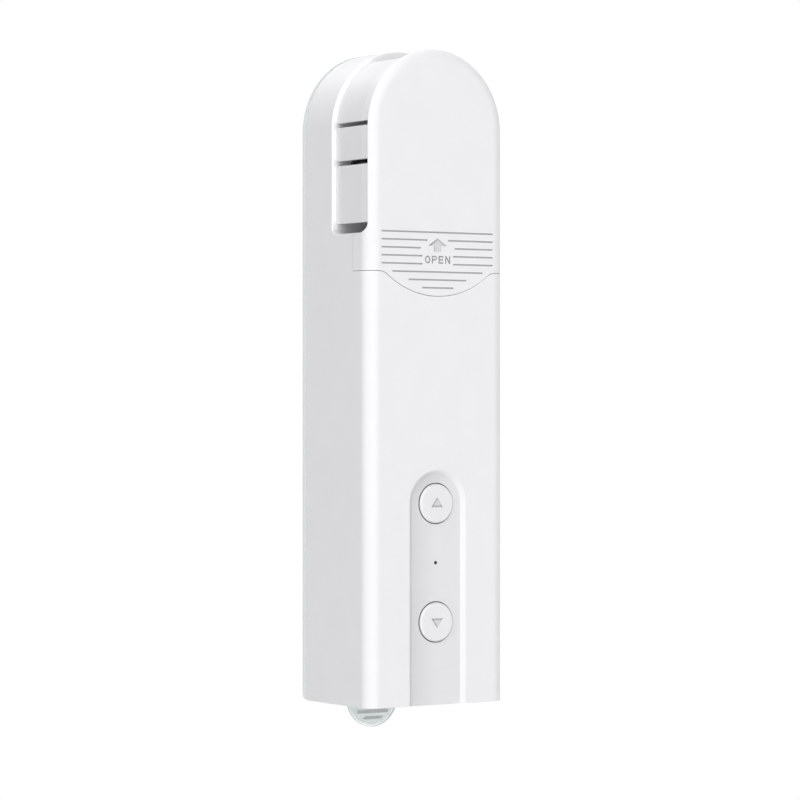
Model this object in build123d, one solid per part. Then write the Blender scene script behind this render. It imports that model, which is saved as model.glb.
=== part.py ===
from build123d import *
import os
from math import acos, cos, pi, radians, sin, sqrt, tan

# Bead-chain roller shade driver, hung on its clear wall plate. All sizes are in millimetres.
# X runs across, +Z up and +Y towards the wall. Heights are written from the housing's lower end
# and depths from its front face. The last function moves every piece so that the origin lies on
# the wall, midway between the two wall screws.

# Housing walls and the rear cover
WALL = 1.8
EDGE_R = 3.8
BACK_EDGE_R = 0.3
RECESS_EDGE_R = 0.3
REAR_COVER_T = 1.4
REAR_COVER_GAP = 0.1

# Cells and their cradle
CELL_R = 9.2
CELL_LENGTH = 65.0
CELL_SPACE = 0.7
CELL_PLAY = 0.12
CELL_SIDE_GAP = 1.33
CELL_BACK_GAP = 0.6
CELL_PLUS_R = 3.0
CELL_PLUS_RISE = 0.8
CELL_NECK = 0.8
CELL_NECK_DEPTH = 0.5
CRADLE_WALL = 1.0
CRADLE_GAP = 0.2
LINK_T = 0.2
LINK_HALF = 3.0
LUG_HALF = 1.2
LUG_RISE = 3.6
LEAD_R = 0.55

# Button channel, buttons and switches
CHANNEL_R = 9.0
CHANNEL_FLOOR_R = 7.75
CHANNEL_DEPTH = 1.0
CHANNEL_FLOOR_T = 1.6
UP_BUTTON_Z = 53.4
DOWN_BUTTON_Z = 21.95
BUTTON_R = 5.25
BUTTON_GAP = 0.25
BUTTON_SET_BACK = 0.25
BUTTON_EDGE_R = 0.65
BUTTON_FLANGE = 0.8
BUTTON_FLANGE_T = 0.6
BUTTON_PLAY = 0.05
BUTTON_STEM_R = 1.5
BUTTON_STEM = 0.25
BUTTON_TRAVEL = 0.3
TRIANGLE_HALF = 1.8
TRIANGLE_TIP = 1.6
TRIANGLE_BASE = 0.95
SWITCH_SIDE = 6.0
SWITCH_T = 1.5
PLUNGER_R = 1.6
PLUNGER_REACH = 0.4
PLUNGER_INSIDE = 0.35
LIGHT_HOLE_R = 0.5
LIGHT_PIPE_R = 1.5
LIGHT_PIPE_SET_BACK = 0.15
LIGHT_SIDE = 1.6
LIGHT_T = 0.7

# Main board and what it carries. A chip is left, right, thickness, low and high
BOARD_T = 1.0
BOARD_SIDE_GAP = 5.6
BOARD_END_GAP = 0.6
PART_SPACE = 3.2
POST_INSET = 3.0
POST_R = 2.0
POST_FROM_ENDS = (7.6, 10.0)
USB_WIDTH = 8.94
USB_HEIGHT = 3.26
USB_DEPTH = 7.3
USB_CORNER_R = 1.3
USB_MOUTH_Z = 0.4
USB_SHELL_T = 0.3
USB_TONGUE_HALF = 3.35
USB_TONGUE_T = 0.7
USB_GAP = 0.2
DRIVER_CHIP = (3.0, 9.0, 1.0, 46.0, 52.0)
CHARGER_CHIP = (3.5, 7.5, 0.9, 20.0, 24.0)
CONTROLLER_CHIP = (-8.5, -3.5, 1.0, 26.0, 31.0)
POWER_COIL = (-12.0, -7.0, 2.4, 17.0, 22.0)
RADIO = (-13.0, -2.5, 0.8, 42.0, 57.0)
RADIO_CAN = (-12.5, -3.0, 2.2, 46.5, 56.5)
MOTOR_PLUG = (3.4, 2.5, 8.0, 3.0)
BATTERY_PLUG = (1.0, 7.0, 2.8, 9.0, 4.0)

# Leads: how they part, step and bend on their way to the board
LEAD_PITCH = 1.32
LEAD_OVERLAP = 1.5
LEAD_STEP = 0.7
LEAD_STEP_HALF = 2.0
LEAD_SPREAD = 1.15
LEAD_LONG_BEND = 6.0
LEAD_SHORT_BEND = 1.32
LEAD_LIFT = 0.6
BATTERY_LEAD_RISES = (2.8, 4.2)
BATTERY_LEAD_APART = 1.2
BATTERY_LEAD_SET_IN = 3.5

# Gear train, teeth and module of each pair
PRESSURE_ANGLE = radians(25.0)
ADDENDUM = 0.95
DEDENDUM = 1.2
GEAR_BACKLASH = 0.05
MOTOR_TEETH = 12
STAGE_1_TEETH = 56
MODULE_1 = 0.5
STAGE_1_PINION_TEETH = 14
STAGE_2_TEETH = 50
MODULE_2 = 0.6
STAGE_2_PINION_TEETH = 14
OUTPUT_TEETH = 42
MODULE_3 = 0.7
GEAR_SPACE = 0.25
STAGE_1_PIN_R = 1.0
STAGE_2_PIN_R = 1.25
RUNNING_FIT = 0.03

# Gearbox plates, pillars and the bulkhead that they stand behind
BULKHEAD_T = 1.2
GEARBOX_PLATE_T = 1.2
GEARBOX_GAP = 0.1
GEARBOX_BACK_GAP = 0.2
GEARBOX_SIDE_GAP = 0.6
GEARBOX_RISE = 5.3
REAR_PLATE_RISE = 0.55
PILLAR_R = 1.8
LOW_PILLAR_INSET = 3.8
LOW_PILLAR_RISE = 4.05
HIGH_PILLAR_ANGLE = 65.0
HIGH_PILLAR_RADIUS = 17.5
EAR_INSET = 3.8
EAR_RISE = 8.5
EAR_R = 2.6

# Motor
MOTOR_R = 12.2
MOTOR_BAY = 9.05
MOTOR_CAN_T = 1.0
MOTOR_FACE_T = 1.2
MOTOR_SHAFT_R = 1.0
MOTOR_BUSH_T = 1.5
MOTOR_BUSH_REACH = 0.8
MAGNET_T = 2.8
MAGNET_FLAT = 3.5
ROTOR_GAP = 0.4
ROTOR_END_GAP = 0.4
ROTOR_SLOT = 1.2
COMMUTATOR_R = 2.2
COMMUTATOR_LENGTH = 1.9
END_CAP_T = 1.0
END_CAP_PLUG = 1.5
END_CAP_POST = (6.0, 4.5, 0.9)
BRUSH_HALF = 1.2
BRUSH_T = 0.5
BRUSH_REACH = 5.6
MOTOR_SCREW_X = 8.0
ENCODER_GAP = 0.2
ENCODER_BOARD_R = 9.0
ENCODER_BOARD_T = 0.8
ENCODER_MAGNET_R = 4.0
ENCODER_MAGNET_T = 1.2
MAGNET_TO_CAP = 1.2
SENSOR_SIZE = (1.6, 1.0, 1.4)

# Chain wheel, its guide and the output shaft
BEAD_R = 2.25
BEAD_PITCH = 6.0
POCKETS = 6
POCKET_CLEARANCE = 0.1
WHEEL_RISE = 1.4
WHEEL_T = 7.0
WHEEL_WELL = 1.2
FLANGE_T = 1.0
FLANGE_RISE = 0.9
FLANGE_EDGE_R = 0.3
CORD_GROOVE = 0.95
HUB_R = 4.0
SHAFT_R = 2.5
SHAFT_FLAT = 2.0
BUSH_R = 4.5
BUSH_FLANGE_R = 5.5
BUSH_FLANGE_T = 0.8
END_PLAY = 0.1
GUIDE_CLEARANCE = 0.45
GUIDE_WALL = 1.2
GUIDE_RISE = 13.0
GUIDE_FRONT = 0.5
GUIDE_FOOT_X = 13.4
GUIDE_FOOT_DROP = 10.15
GUIDE_FOOT_R = 3.2
GUIDE_BOSS_T = 2.0

# Top cover and the recess round its skirt. Drops are below the arch's centre
COVER_T = 1.5
SEAM_DROP = 37.9
SEAM_DIP = 6.45
SEAM_DIP_R = 25.66
SEAM_BLEND_R = 4.0
SEAM_GAP = 0.12
WRAP_DEPTH = 7.5
WRAP_CORNER_R = 2.5
RECESS_DROP = 27.95
RECESS_DEPTH = 17.5
RECESS_CORNER_R = 1.8
SKIRT_INSET = 1.25
SKIRT_T = 1.2
SKIRT_RISE = 2.8
SKIRT_REAR_GAP = 0.1
PANEL_CORNER_R = 0.8
SKIRT_SLOTS = ((-9.8, 1.3), (0.35, 1.2))
CHAIN_OPENING_HALF = 9.2
LAND_T = 1.6
RAIL_INSET = 7.5
RAIL_T = 1.2
RAIL_FOOT = 3.0
RAIL_RISE = 1.35
RAIL_CLEARANCE = 0.1

# Grip lines, arrow and word on the cover. Rises are above the seam's straight part
GRIP_RISE = 10.41
GRIP_PITCH = 2.1
GRIP_WIDTH = 0.42
GRIP_INSET = 4.2
GRIP_GAPS = (0, 3.3, 5.4, 4.9, 4.9)
GRIP_SHORT = (14.5, 9.3, 5.0)
ENGRAVING = 0.35
ARROW_RISE = 8.85
ARROW_WING_RISE = 6.85
ARROW_BASE_RISE = 5.3
ARROW_HALF = 2.95
ARROW_STEM_HALF = 1.2
WORD_RISE = 2.15
LETTER_HEIGHT = 2.05
LETTER_WIDTH = 1.62
LETTER_PITCH = 2.14
LETTER_STROKE = 0.36

# Wall plate with its foam pads and hooks
PLATE_GAP = 0.15
WALL_PLATE_T = 1.5
PLATE_CORNER_R = 1.4
PAD_T = 0.8
PAD_INSET = 6.5
PAD_CORNER_R = 3.0
PAD_SPANS = ((20.0, 36.0), (52.0, 126.0), (142.0, 164.0))
WALL_SCREW_LOW_Z = 44.0
WALL_SCREW_SPACING = 90.0
WALL_SCREW_R = 2.1
WALL_SCREW_HEAD_R = 3.9
WALL_SCREW_LAND = 0.4
LOW_HOOK_Z = 22.0
HIGH_HOOK_DROP = 8.95
HOOK_INSET = 3.0
HOOK_WIDTH = 3.0
HOOK_STEM = 2.0
HOOK_LIP = 2.2
HOOK_T = 0.95
HOOK_CLEARANCE = 0.15
HOOK_SIDE_GAP = 0.2
LIFT_TRAVEL = 5.0

# Release tab below the housing, on its springy tongue
TAB_R = 8.2
TAB_T = 0.8
TAB_RECESS = 0.4
TAB_DROP = 0.2
TONGUE_HALF_WIDTH = 5.0
TONGUE_TOP_Z = 16.0
TONGUE_GAP = 0.15
TOOTH_HALF_WIDTH = 3.0
TOOTH_LOW_Z = 2.2
TOOTH_HEIGHT = 2.0
TOOTH_REACH = 0.6
TOOTH_CLEARANCE = 0.35
TAB_RIDGES = ((4.9, 5.2), (2.6, 6.8))
TAB_RIDGE_HEIGHT = 0.9
TAB_RIDGE_REACH = 0.7
TAB_RIDGE_CREST = 0.3

# Screws, their posts and pilot holes
SCREW_R = 1.0
SCREW_CLEARANCE = 0.1
SCREW_HEAD_R = 1.9
SCREW_HEAD_T = 0.9
CROSS_REACH = 1.15
CROSS_WIDTH = 0.5
CROSS_DEPTH = 0.5
LONG_SCREW = 8.0
SHORT_SCREW = 3.4
BOSS_R = 2.2
BOSS_CLEARANCE = 0.4
LOW_SCREW = (3.0, 4.4)
MIDDLE_SCREW = (2.8, 2.5)
HIGH_SCREW = (2.6, 3.85)

# Widths and depths that follow from what the housing holds
CELL_X = CELL_R + CELL_SPACE / 2
INNER_HALF = CELL_X + CELL_R + CELL_PLAY + CELL_SIDE_GAP
HALF = INNER_HALF + WALL
CHANNEL_BACK = CHANNEL_DEPTH + CHANNEL_FLOOR_T
PLUNGER_FRONT = CHANNEL_BACK + BUTTON_PLAY + BUTTON_FLANGE_T + BUTTON_STEM
BOARD_FRONT = PLUNGER_FRONT + PLUNGER_REACH + SWITCH_T
BOARD_BACK = BOARD_FRONT + BOARD_T
CELL_DEPTH = BOARD_BACK + PART_SPACE + CRADLE_WALL + CELL_R
REAR_COVER_FRONT = CELL_DEPTH + CELL_R + CELL_BACK_GAP
HOUSING_DEPTH = REAR_COVER_FRONT + REAR_COVER_T
PLATE_FRONT = HOUSING_DEPTH + PLATE_GAP
PLATE_BACK = PLATE_FRONT + WALL_PLATE_T
WALL_FACE = PLATE_BACK + PAD_T
LAND_FRONT = COVER_T + SEAM_GAP
LAND_BACK = LAND_FRONT + LAND_T
FRONT_PLATE_FRONT = RECESS_DEPTH + BULKHEAD_T + GEARBOX_GAP
FRONT_PLATE_BACK = FRONT_PLATE_FRONT + GEARBOX_PLATE_T
REAR_PLATE_BACK = REAR_COVER_FRONT - GEARBOX_BACK_GAP
REAR_PLATE_FRONT = REAR_PLATE_BACK - GEARBOX_PLATE_T
GEAR_T = (REAR_PLATE_FRONT - FRONT_PLATE_BACK - 4 * GEAR_SPACE) / 3
LAYERS = tuple(FRONT_PLATE_BACK + GEAR_SPACE + i * (GEAR_T + GEAR_SPACE) for i in range(3))
ENCODER_BOARD_FRONT = WALL + ENCODER_GAP
ENCODER_BOARD_BACK = ENCODER_BOARD_FRONT + ENCODER_BOARD_T
MAGNET_FRONT = ENCODER_BOARD_BACK + ENCODER_GAP
END_CAP_FRONT = MAGNET_FRONT + ENCODER_MAGNET_T + MAGNET_TO_CAP
MOTOR_FRONT = END_CAP_FRONT + END_CAP_T
MOTOR_FACE_FRONT = FRONT_PLATE_FRONT - MOTOR_FACE_T
WHEEL_MIDDLE = (COVER_T + RECESS_DEPTH) / 2
WHEEL_FRONT = WHEEL_MIDDLE - WHEEL_T / 2
WHEEL_BACK = WHEEL_MIDDLE + WHEEL_T / 2
BUSH_FRONT = RECESS_DEPTH - BUSH_FLANGE_T
PITCH_R = BEAD_PITCH / (2 * sin(pi / POCKETS))
WHEEL_R = PITCH_R + WHEEL_RISE
GUIDE_R = PITCH_R + BEAD_R + GUIDE_CLEARANCE
BOARD_HALF = INNER_HALF - BOARD_SIDE_GAP
POST_X = BOARD_HALF - POST_INSET
EAR_X = INNER_HALF - EAR_INSET
HOOK_X = INNER_HALF - HOOK_INSET
RAIL_X = HALF - RAIL_INSET

# Heights, stacked from the charging socket up to the arch
CRADLE_LOW = USB_MOUTH_Z + USB_DEPTH + CRADLE_GAP
CELL_LOW_Z = CRADLE_LOW + CRADLE_WALL + 2 * LINK_T
CELL_TOP_Z = CELL_LOW_Z + CELL_LENGTH
CRADLE_TOP = CELL_TOP_Z + 2 * LINK_T + CRADLE_WALL
BOARD_LOW = WALL + BOARD_END_GAP
BOARD_TOP = CRADLE_TOP + 0.3
LIGHT_Z = (UP_BUTTON_Z + DOWN_BUTTON_Z) / 2
MOTOR_Z = CRADLE_TOP + MOTOR_BAY + MOTOR_R
STAGE_1_Z = MOTOR_Z + (MOTOR_TEETH + STAGE_1_TEETH) * MODULE_1 / 2
STAGE_2_Z = STAGE_1_Z + (STAGE_1_PINION_TEETH + STAGE_2_TEETH) * MODULE_2 / 2
ARCH_Z = STAGE_2_Z + (STAGE_2_PINION_TEETH + OUTPUT_TEETH) * MODULE_3 / 2
TOP_Z = ARCH_Z + HALF
SEAM_Z = ARCH_Z - SEAM_DROP
SEAM_LOW_Z = SEAM_Z - SEAM_DIP
RECESS_Z = ARCH_Z - RECESS_DROP
SKIRT_LOW_Z = RECESS_Z + SKIRT_RISE
CHAMBER_FLOOR_Z = RECESS_Z - WALL
EAR_Z = CRADLE_TOP + EAR_RISE
GUIDE_FOOT_Z = ARCH_Z - GUIDE_FOOT_DROP
HOOK_HEIGHTS = (LOW_HOOK_Z, MOTOR_Z - HIGH_HOOK_DROP)
ORIGIN_Z = WALL_SCREW_LOW_Z + WALL_SCREW_SPACING / 2
SHELL_SCREWS = (
    (INNER_HALF - LOW_SCREW[0], LOW_SCREW[1]),
    (INNER_HALF - MIDDLE_SCREW[0], CRADLE_TOP + MIDDLE_SCREW[1]),
    (INNER_HALF - HIGH_SCREW[0], STAGE_2_Z + HIGH_SCREW[1]),
)
BOARD_POSTS = ((POST_X, BOARD_LOW + POST_FROM_ENDS[0]), (POST_X, BOARD_TOP - POST_FROM_ENDS[1]))
FAR = 60.0


def y_at(depth):
    """Y of a plane at a depth behind the front face."""
    return depth - WALL_FACE


def slab(sketch, front, back):
    """A front-view sketch, across and up, between two depths."""
    plane = Plane(origin=(0, y_at(back), 0), x_dir=(1, 0, 0), z_dir=(0, -1, 0))
    return extrude(plane * sketch, amount=back - front)


def across(sketch, left, right):
    """A side-view sketch, depth and height, between two places across."""
    plane = Plane(origin=(left, y_at(0), 0), x_dir=(0, 1, 0), z_dir=(1, 0, 0))
    return extrude(plane * sketch, amount=right - left)


def area(low_1, high_1, low_2, high_2):
    """A rectangle given by its limits both ways."""
    middle = Pos((low_1 + high_1) / 2, (low_2 + high_2) / 2)
    return middle * Rectangle(high_1 - low_1, high_2 - low_2)


def block(left, right, front, back, low, high):
    return slab(area(left, right, low, high), front, back)


def rod(x, z, radius, front, back):
    return slab(Pos(x, z) * Circle(radius), front, back)


def upright(x, depth, radius, low, high):
    """A round bar that stands upright."""
    place = Pos(x, y_at(depth), low)
    return place * Cylinder(radius, high - low, align=(Align.CENTER, Align.CENTER, Align.MIN))


def frustum(x, z, front, front_r, back, back_r):
    base = Plane(origin=(x, y_at(front), z), z_dir=(0, 1, 0))
    return Solid.make_cone(front_r, back_r, back - front, base)


def outline(inset, low=0.0):
    """Front view of the housing, drawn in by an inset at the sides and arch."""
    half = HALF - inset
    return area(-half, half, low, ARCH_Z) + Pos(0, ARCH_Z) * Circle(half)


def both_sides(piece):
    return piece + mirror(piece, about=Plane.YZ)


def screw(x, z, seat, reach, head_r=SCREW_HEAD_R, sunk=False):
    """A screw along Y. It reaches from its seat towards the wall, or forwards if reach is negative."""
    way = 1 if reach > 0 else -1
    low, high = sorted((seat, seat + reach))
    body = rod(x, z, SCREW_R, low, high)
    if sunk:
        head = frustum(x, z, seat - SCREW_HEAD_T, SCREW_R, seat, head_r)
        face = seat
    else:
        face = seat - way * SCREW_HEAD_T
        low, high = sorted((seat, face))
        head = rod(x, z, head_r, low, high)
    low, high = sorted((face, face + way * CROSS_DEPTH))
    cross = Rectangle(2 * CROSS_REACH, CROSS_WIDTH) + Rectangle(CROSS_WIDTH, 2 * CROSS_REACH)
    return body + head - slab(Pos(x, z) * cross, low, high)


def round_rim(solid, depth, radius):
    """Rounds the side and arch edges at a depth, and leaves the lower end sharp."""
    rim = [e for e in solid.edges() if abs(e.center().Y - y_at(depth)) < 0.01 and e.center().Z > 1]
    return fillet(rim, radius)


def housing_block():
    """The whole outer form, with its rounded front edge."""
    solid = round_rim(slab(outline(0), 0, HOUSING_DEPTH), 0, EDGE_R)
    return round_rim(solid, HOUSING_DEPTH, BACK_EDGE_R)


def cover_area(gap):
    """Front view of the cover: everything above its seam, which dips in the middle."""
    flat = SEAM_Z - gap
    shape = area(-FAR, FAR, flat, TOP_Z + FAR) + Pos(0, SEAM_LOW_Z + SEAM_DIP_R) * Circle(SEAM_DIP_R + gap)
    corners = [v for v in shape.vertices() if abs(v.Y - flat) < 0.01 and abs(v.X) < HALF]
    return fillet(corners, SEAM_BLEND_R)


def wrap_profile(gap):
    """Side view of the cover's wrap round the sides, up to the recess."""
    low = SEAM_Z - gap
    shape = area(-1, WRAP_DEPTH + gap, low, RECESS_Z) + area(-1, COVER_T, low, RECESS_Z + WRAP_CORNER_R + 1)
    corner = [v for v in shape.vertices() if abs(v.X - COVER_T) < 0.01 and abs(v.Y - RECESS_Z) < 0.01]
    return fillet(corner, WRAP_CORNER_R)


def skirt_panels():
    """Side view of the three skirt panels, each with its lower rear corner rounded."""
    rear = RECESS_DEPTH - SKIRT_REAR_GAP
    lows = [SKIRT_LOW_Z] + [ARCH_Z + rise + width for rise, width in SKIRT_SLOTS]
    highs = [ARCH_Z + rise for rise, width in SKIRT_SLOTS] + [TOP_Z + 1]
    panels = None
    for low, high in zip(lows, highs):
        panel = area(COVER_T, rear, low, high)
        corner = [v for v in panel.vertices() if v.X > rear - 0.01 and v.Y < low + 0.01]
        panel = fillet(corner, PANEL_CORNER_R)
        panels = panel if panels is None else panels + panel
    return panels


def grip_line(z, half, gap):
    """One engraved line, in two pieces where it leaves a gap for the arrow or word."""
    if gap == 0:
        return Pos(0, z) * SlotOverall(2 * half, GRIP_WIDTH)
    middle = (half + gap) / 2
    piece = SlotOverall(half - gap, GRIP_WIDTH)
    return Pos(-middle, z) * piece + Pos(middle, z) * piece


def arrow():
    top, wing, base = (SEAM_Z + rise for rise in (ARROW_RISE, ARROW_WING_RISE, ARROW_BASE_RISE))
    points = [(0, top), (ARROW_HALF, wing), (ARROW_STEM_HALF, wing), (ARROW_STEM_HALF, base)]
    points += [(-ARROW_STEM_HALF, base), (-ARROW_STEM_HALF, wing), (-ARROW_HALF, wing)]
    return make_face(Polyline(*points, close=True))


def letters():
    """The four capitals, drawn as strokes in boxes of one width."""
    w, h, t = LETTER_WIDTH, LETTER_HEIGHT, LETTER_STROKE
    letter_o = Pos(w / 2, h / 2) * (Ellipse(w / 2 + 0.05, h / 2) - Ellipse(w / 2 + 0.05 - t, h / 2 - t))
    bowl = Pos(w - h * 0.3, h * 0.7) * (Circle(h * 0.3) - Circle(h * 0.3 - t))
    bowl = bowl & area(w - h * 0.3, w, 0, h)
    letter_p = area(0, t, 0, h) + area(0, w - h * 0.3, h - t, h) + bowl
    letter_p += area(0, w - h * 0.3, h * 0.4, h * 0.4 + t)
    letter_e = area(0, t, 0, h) + area(0, w * 0.95, 0, t) + area(0, w * 0.95, h - t, h)
    letter_e += area(0, w * 0.88, (h - t) / 2, (h + t) / 2)
    slope = make_face(Polyline((0, h), (t * 1.15, h), (w, 0), (w - t * 1.15, 0), close=True))
    letter_n = area(0, t, 0, h) + area(w - t, w, 0, h) + slope
    start = -1.5 * LETTER_PITCH - w / 2
    word = None
    for i, letter in enumerate((letter_o, letter_p, letter_e, letter_n)):
        placed = Pos(start + i * LETTER_PITCH, SEAM_Z + WORD_RISE) * letter
        word = placed if word is None else word + placed
    return word


def rails(grow, high):
    """The cover's two rails, or their way: a stem through the land and a foot behind it."""
    low = SEAM_Z + RAIL_RISE - grow
    half = RAIL_T / 2 + grow
    foot_half = RAIL_FOOT / 2 + grow
    foot_front = LAND_BACK + RAIL_CLEARANCE - grow
    foot_back = LAND_BACK + RAIL_CLEARANCE + RAIL_T + grow
    stem = block(RAIL_X - half, RAIL_X + half, COVER_T, foot_back, low, high)
    foot = block(RAIL_X - foot_half, RAIL_X + foot_half, foot_front, foot_back, low, high)
    return both_sides(stem + foot)


def top_cover():
    form = housing_block()
    plate = form & slab(cover_area(0), 0, COVER_T)
    hollow = slab(outline(COVER_T), COVER_T, HOUSING_DEPTH)
    wrap = (form - hollow) & across(wrap_profile(0), -HALF, HALF)
    ring = slab(outline(SKIRT_INSET) - outline(SKIRT_INSET + SKIRT_T), COVER_T, RECESS_DEPTH)
    ring -= block(-CHAIN_OPENING_HALF, CHAIN_OPENING_HALF, COVER_T, RECESS_DEPTH, ARCH_Z, TOP_Z)
    skirt = ring & across(skirt_panels(), -HALF, HALF)
    cover = plate + wrap + skirt + rails(0, CHAMBER_FLOOR_Z)
    marks = arrow() + letters()
    lines = [(HALF - GRIP_INSET, gap) for gap in GRIP_GAPS] + [(half, 0) for half in GRIP_SHORT]
    for i, (half, gap) in enumerate(lines):
        marks += grip_line(SEAM_Z + GRIP_RISE - i * GRIP_PITCH, half, gap)
    return cover - slab(marks, 0, ENGRAVING)


def channel(front_r, floor_r):
    """Tapered channel, open at the housing's lower end and round at the upper button."""
    sections = []
    for depth, radius in ((0.0, front_r), (CHANNEL_DEPTH, floor_r)):
        plane = Plane(origin=(0, y_at(depth), 0), x_dir=(1, 0, 0), z_dir=(0, -1, 0))
        shape = area(-radius, radius, -2, UP_BUTTON_Z) + Pos(0, UP_BUTTON_Z) * Circle(radius)
        sections.append(plane * shape)
    return loft(sections, ruled=True)


def screw_bosses():
    """Posts inside the shell for the board, the gearbox ears and the rear cover."""
    posts = rod(*SHELL_SCREWS[0], BOSS_R, WALL, REAR_COVER_FRONT)
    posts += rod(*SHELL_SCREWS[1], BOSS_R, WALL, REAR_COVER_FRONT)
    posts += rod(*SHELL_SCREWS[2], BOSS_R, RECESS_DEPTH, REAR_COVER_FRONT)
    posts += rod(EAR_X, EAR_Z, EAR_R, WALL, FRONT_PLATE_FRONT)
    for x, z in BOARD_POSTS:
        posts += rod(x, z, POST_R, WALL, BOARD_FRONT)
    return both_sides(posts)


def screw_pilots():
    """Pilot holes in those posts."""
    holes = rod(EAR_X, EAR_Z, SCREW_R, FRONT_PLATE_FRONT - LONG_SCREW, FRONT_PLATE_FRONT)
    for x, z in SHELL_SCREWS:
        holes += rod(x, z, SCREW_R, REAR_COVER_FRONT - LONG_SCREW, REAR_COVER_FRONT)
    for x, z in BOARD_POSTS:
        holes += rod(x, z, SCREW_R, BOARD_BACK - SHORT_SCREW, BOARD_FRONT)
    return both_sides(holes)


def usb_sketch(grow):
    middle = BOARD_BACK + USB_HEIGHT / 2
    place = Pos(0, y_at(middle))
    return place * RectangleRounded(USB_WIDTH + 2 * grow, USB_HEIGHT + 2 * grow, USB_CORNER_R + grow)


def main_shell():
    form = housing_block()
    lower = slab(outline(WALL, WALL) & area(-FAR, FAR, 0, CHAMBER_FLOOR_Z), WALL, HOUSING_DEPTH)
    upper = slab(outline(WALL, WALL), RECESS_DEPTH + BULKHEAD_T, HOUSING_DEPTH)
    shell = form - lower - upper
    # land behind the cover's plate and side wraps
    step = COVER_T + SEAM_GAP + LAND_T
    land_low = SEAM_LOW_Z - LAND_T
    shell += block(-INNER_HALF, INNER_HALF, WALL, LAND_BACK, land_low, CHAMBER_FLOOR_Z)
    sides = block(HALF - step, INNER_HALF, WALL, WRAP_DEPTH + LAND_T, SEAM_Z - LAND_T, CHAMBER_FLOOR_Z)
    shell += both_sides(sides)
    # thicker wall behind the button channel
    back_r = CHANNEL_FLOOR_R + CHANNEL_FLOOR_T
    behind = area(-back_r, back_r, WALL, UP_BUTTON_Z) + Pos(0, UP_BUTTON_Z) * Circle(back_r)
    shell += slab(behind, WALL, CHANNEL_BACK)
    shell += screw_bosses()
    # the cover's place
    shell -= slab(cover_area(SEAM_GAP), -1, LAND_FRONT)
    around = slab(outline(-1) - outline(COVER_T + SEAM_GAP), -1, HOUSING_DEPTH)
    shell -= around & across(area(-1, WRAP_DEPTH + SEAM_GAP, SEAM_Z - SEAM_GAP, RECESS_Z + 1), -FAR, FAR)
    chamber = area(-1, RECESS_DEPTH, RECESS_Z, TOP_Z + FAR)
    corner = [v for v in chamber.vertices() if v.X > 0 and v.Y < RECESS_Z + 1]
    shell -= across(fillet(corner, RECESS_CORNER_R), -FAR, FAR)
    shell -= rails(RAIL_CLEARANCE, RECESS_Z + 1)
    shell = soften_recess(shell)
    # buttons, light and socket
    shell -= channel(CHANNEL_R, CHANNEL_FLOOR_R)
    for z in (UP_BUTTON_Z, DOWN_BUTTON_Z):
        shell -= rod(0, z, BUTTON_R + BUTTON_GAP, 0, CHANNEL_BACK)
    shell -= rod(0, LIGHT_Z, LIGHT_HOLE_R, 0, CHANNEL_BACK)
    shell -= extrude(Plane.XY * usb_sketch(USB_GAP), amount=WALL)
    # output bush, guide screws and the latch tooth's way
    shell -= rod(0, ARCH_Z, BUSH_R, RECESS_DEPTH, RECESS_DEPTH + BULKHEAD_T)
    shell -= both_sides(rod(GUIDE_FOOT_X, GUIDE_FOOT_Z, SCREW_R, RECESS_DEPTH, RECESS_DEPTH + BULKHEAD_T))
    shell -= tooth_way(0.0, WALL)
    return shell - screw_pilots()


def soften_recess(shell):
    """Rounds the recess's rear edge, up one side, round the arch and down the other."""
    edge = []
    for e in shell.edges():
        middle = e.center()
        on_plane = abs(middle.Y - y_at(RECESS_DEPTH)) < 0.01
        on_arch = e.geom_type == GeomType.CIRCLE and abs(e.radius - HALF) < 0.01
        if on_plane and (on_arch or abs(middle.X) > HALF - 0.01):
            edge.append(e)
    return fillet(edge, RECESS_EDGE_R)


def tooth_way(low, high):
    """Open groove down the back in which the latch's tooth runs."""
    half = TOOTH_HALF_WIDTH + TOOTH_CLEARANCE
    front = PLATE_FRONT - TOOTH_REACH - TOOTH_CLEARANCE
    return block(-half, half, front, HOUSING_DEPTH, low, high)


def rear_cover():
    plate = slab(outline(WALL + REAR_COVER_GAP, WALL + REAR_COVER_GAP), REAR_COVER_FRONT, HOUSING_DEPTH)
    for x, z in SHELL_SCREWS:
        for side in (-x, x):
            plate -= rod(side, z, SCREW_R, REAR_COVER_FRONT, HOUSING_DEPTH)
            plate -= frustum(side, z, HOUSING_DEPTH - SCREW_HEAD_T, SCREW_R, HOUSING_DEPTH, SCREW_HEAD_R)
    for z in HOOK_HEIGHTS:
        half = HOOK_WIDTH / 2 + HOOK_SIDE_GAP
        low = z - LIFT_TRAVEL - HOOK_CLEARANCE
        high = z + HOOK_STEM + HOOK_CLEARANCE
        plate -= both_sides(block(HOOK_X - half, HOOK_X + half, REAR_COVER_FRONT, HOUSING_DEPTH, low, high))
    return plate - tooth_way(0.0, TOOTH_LOW_Z + TOOTH_HEIGHT + TOOTH_CLEARANCE)


def shell_screws():
    """Six sunk screws that hold the rear cover."""
    group = []
    for x, z in SHELL_SCREWS:
        for side in (-x, x):
            group.append(screw(side, z, HOUSING_DEPTH, -LONG_SCREW, sunk=True))
    return group


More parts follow.
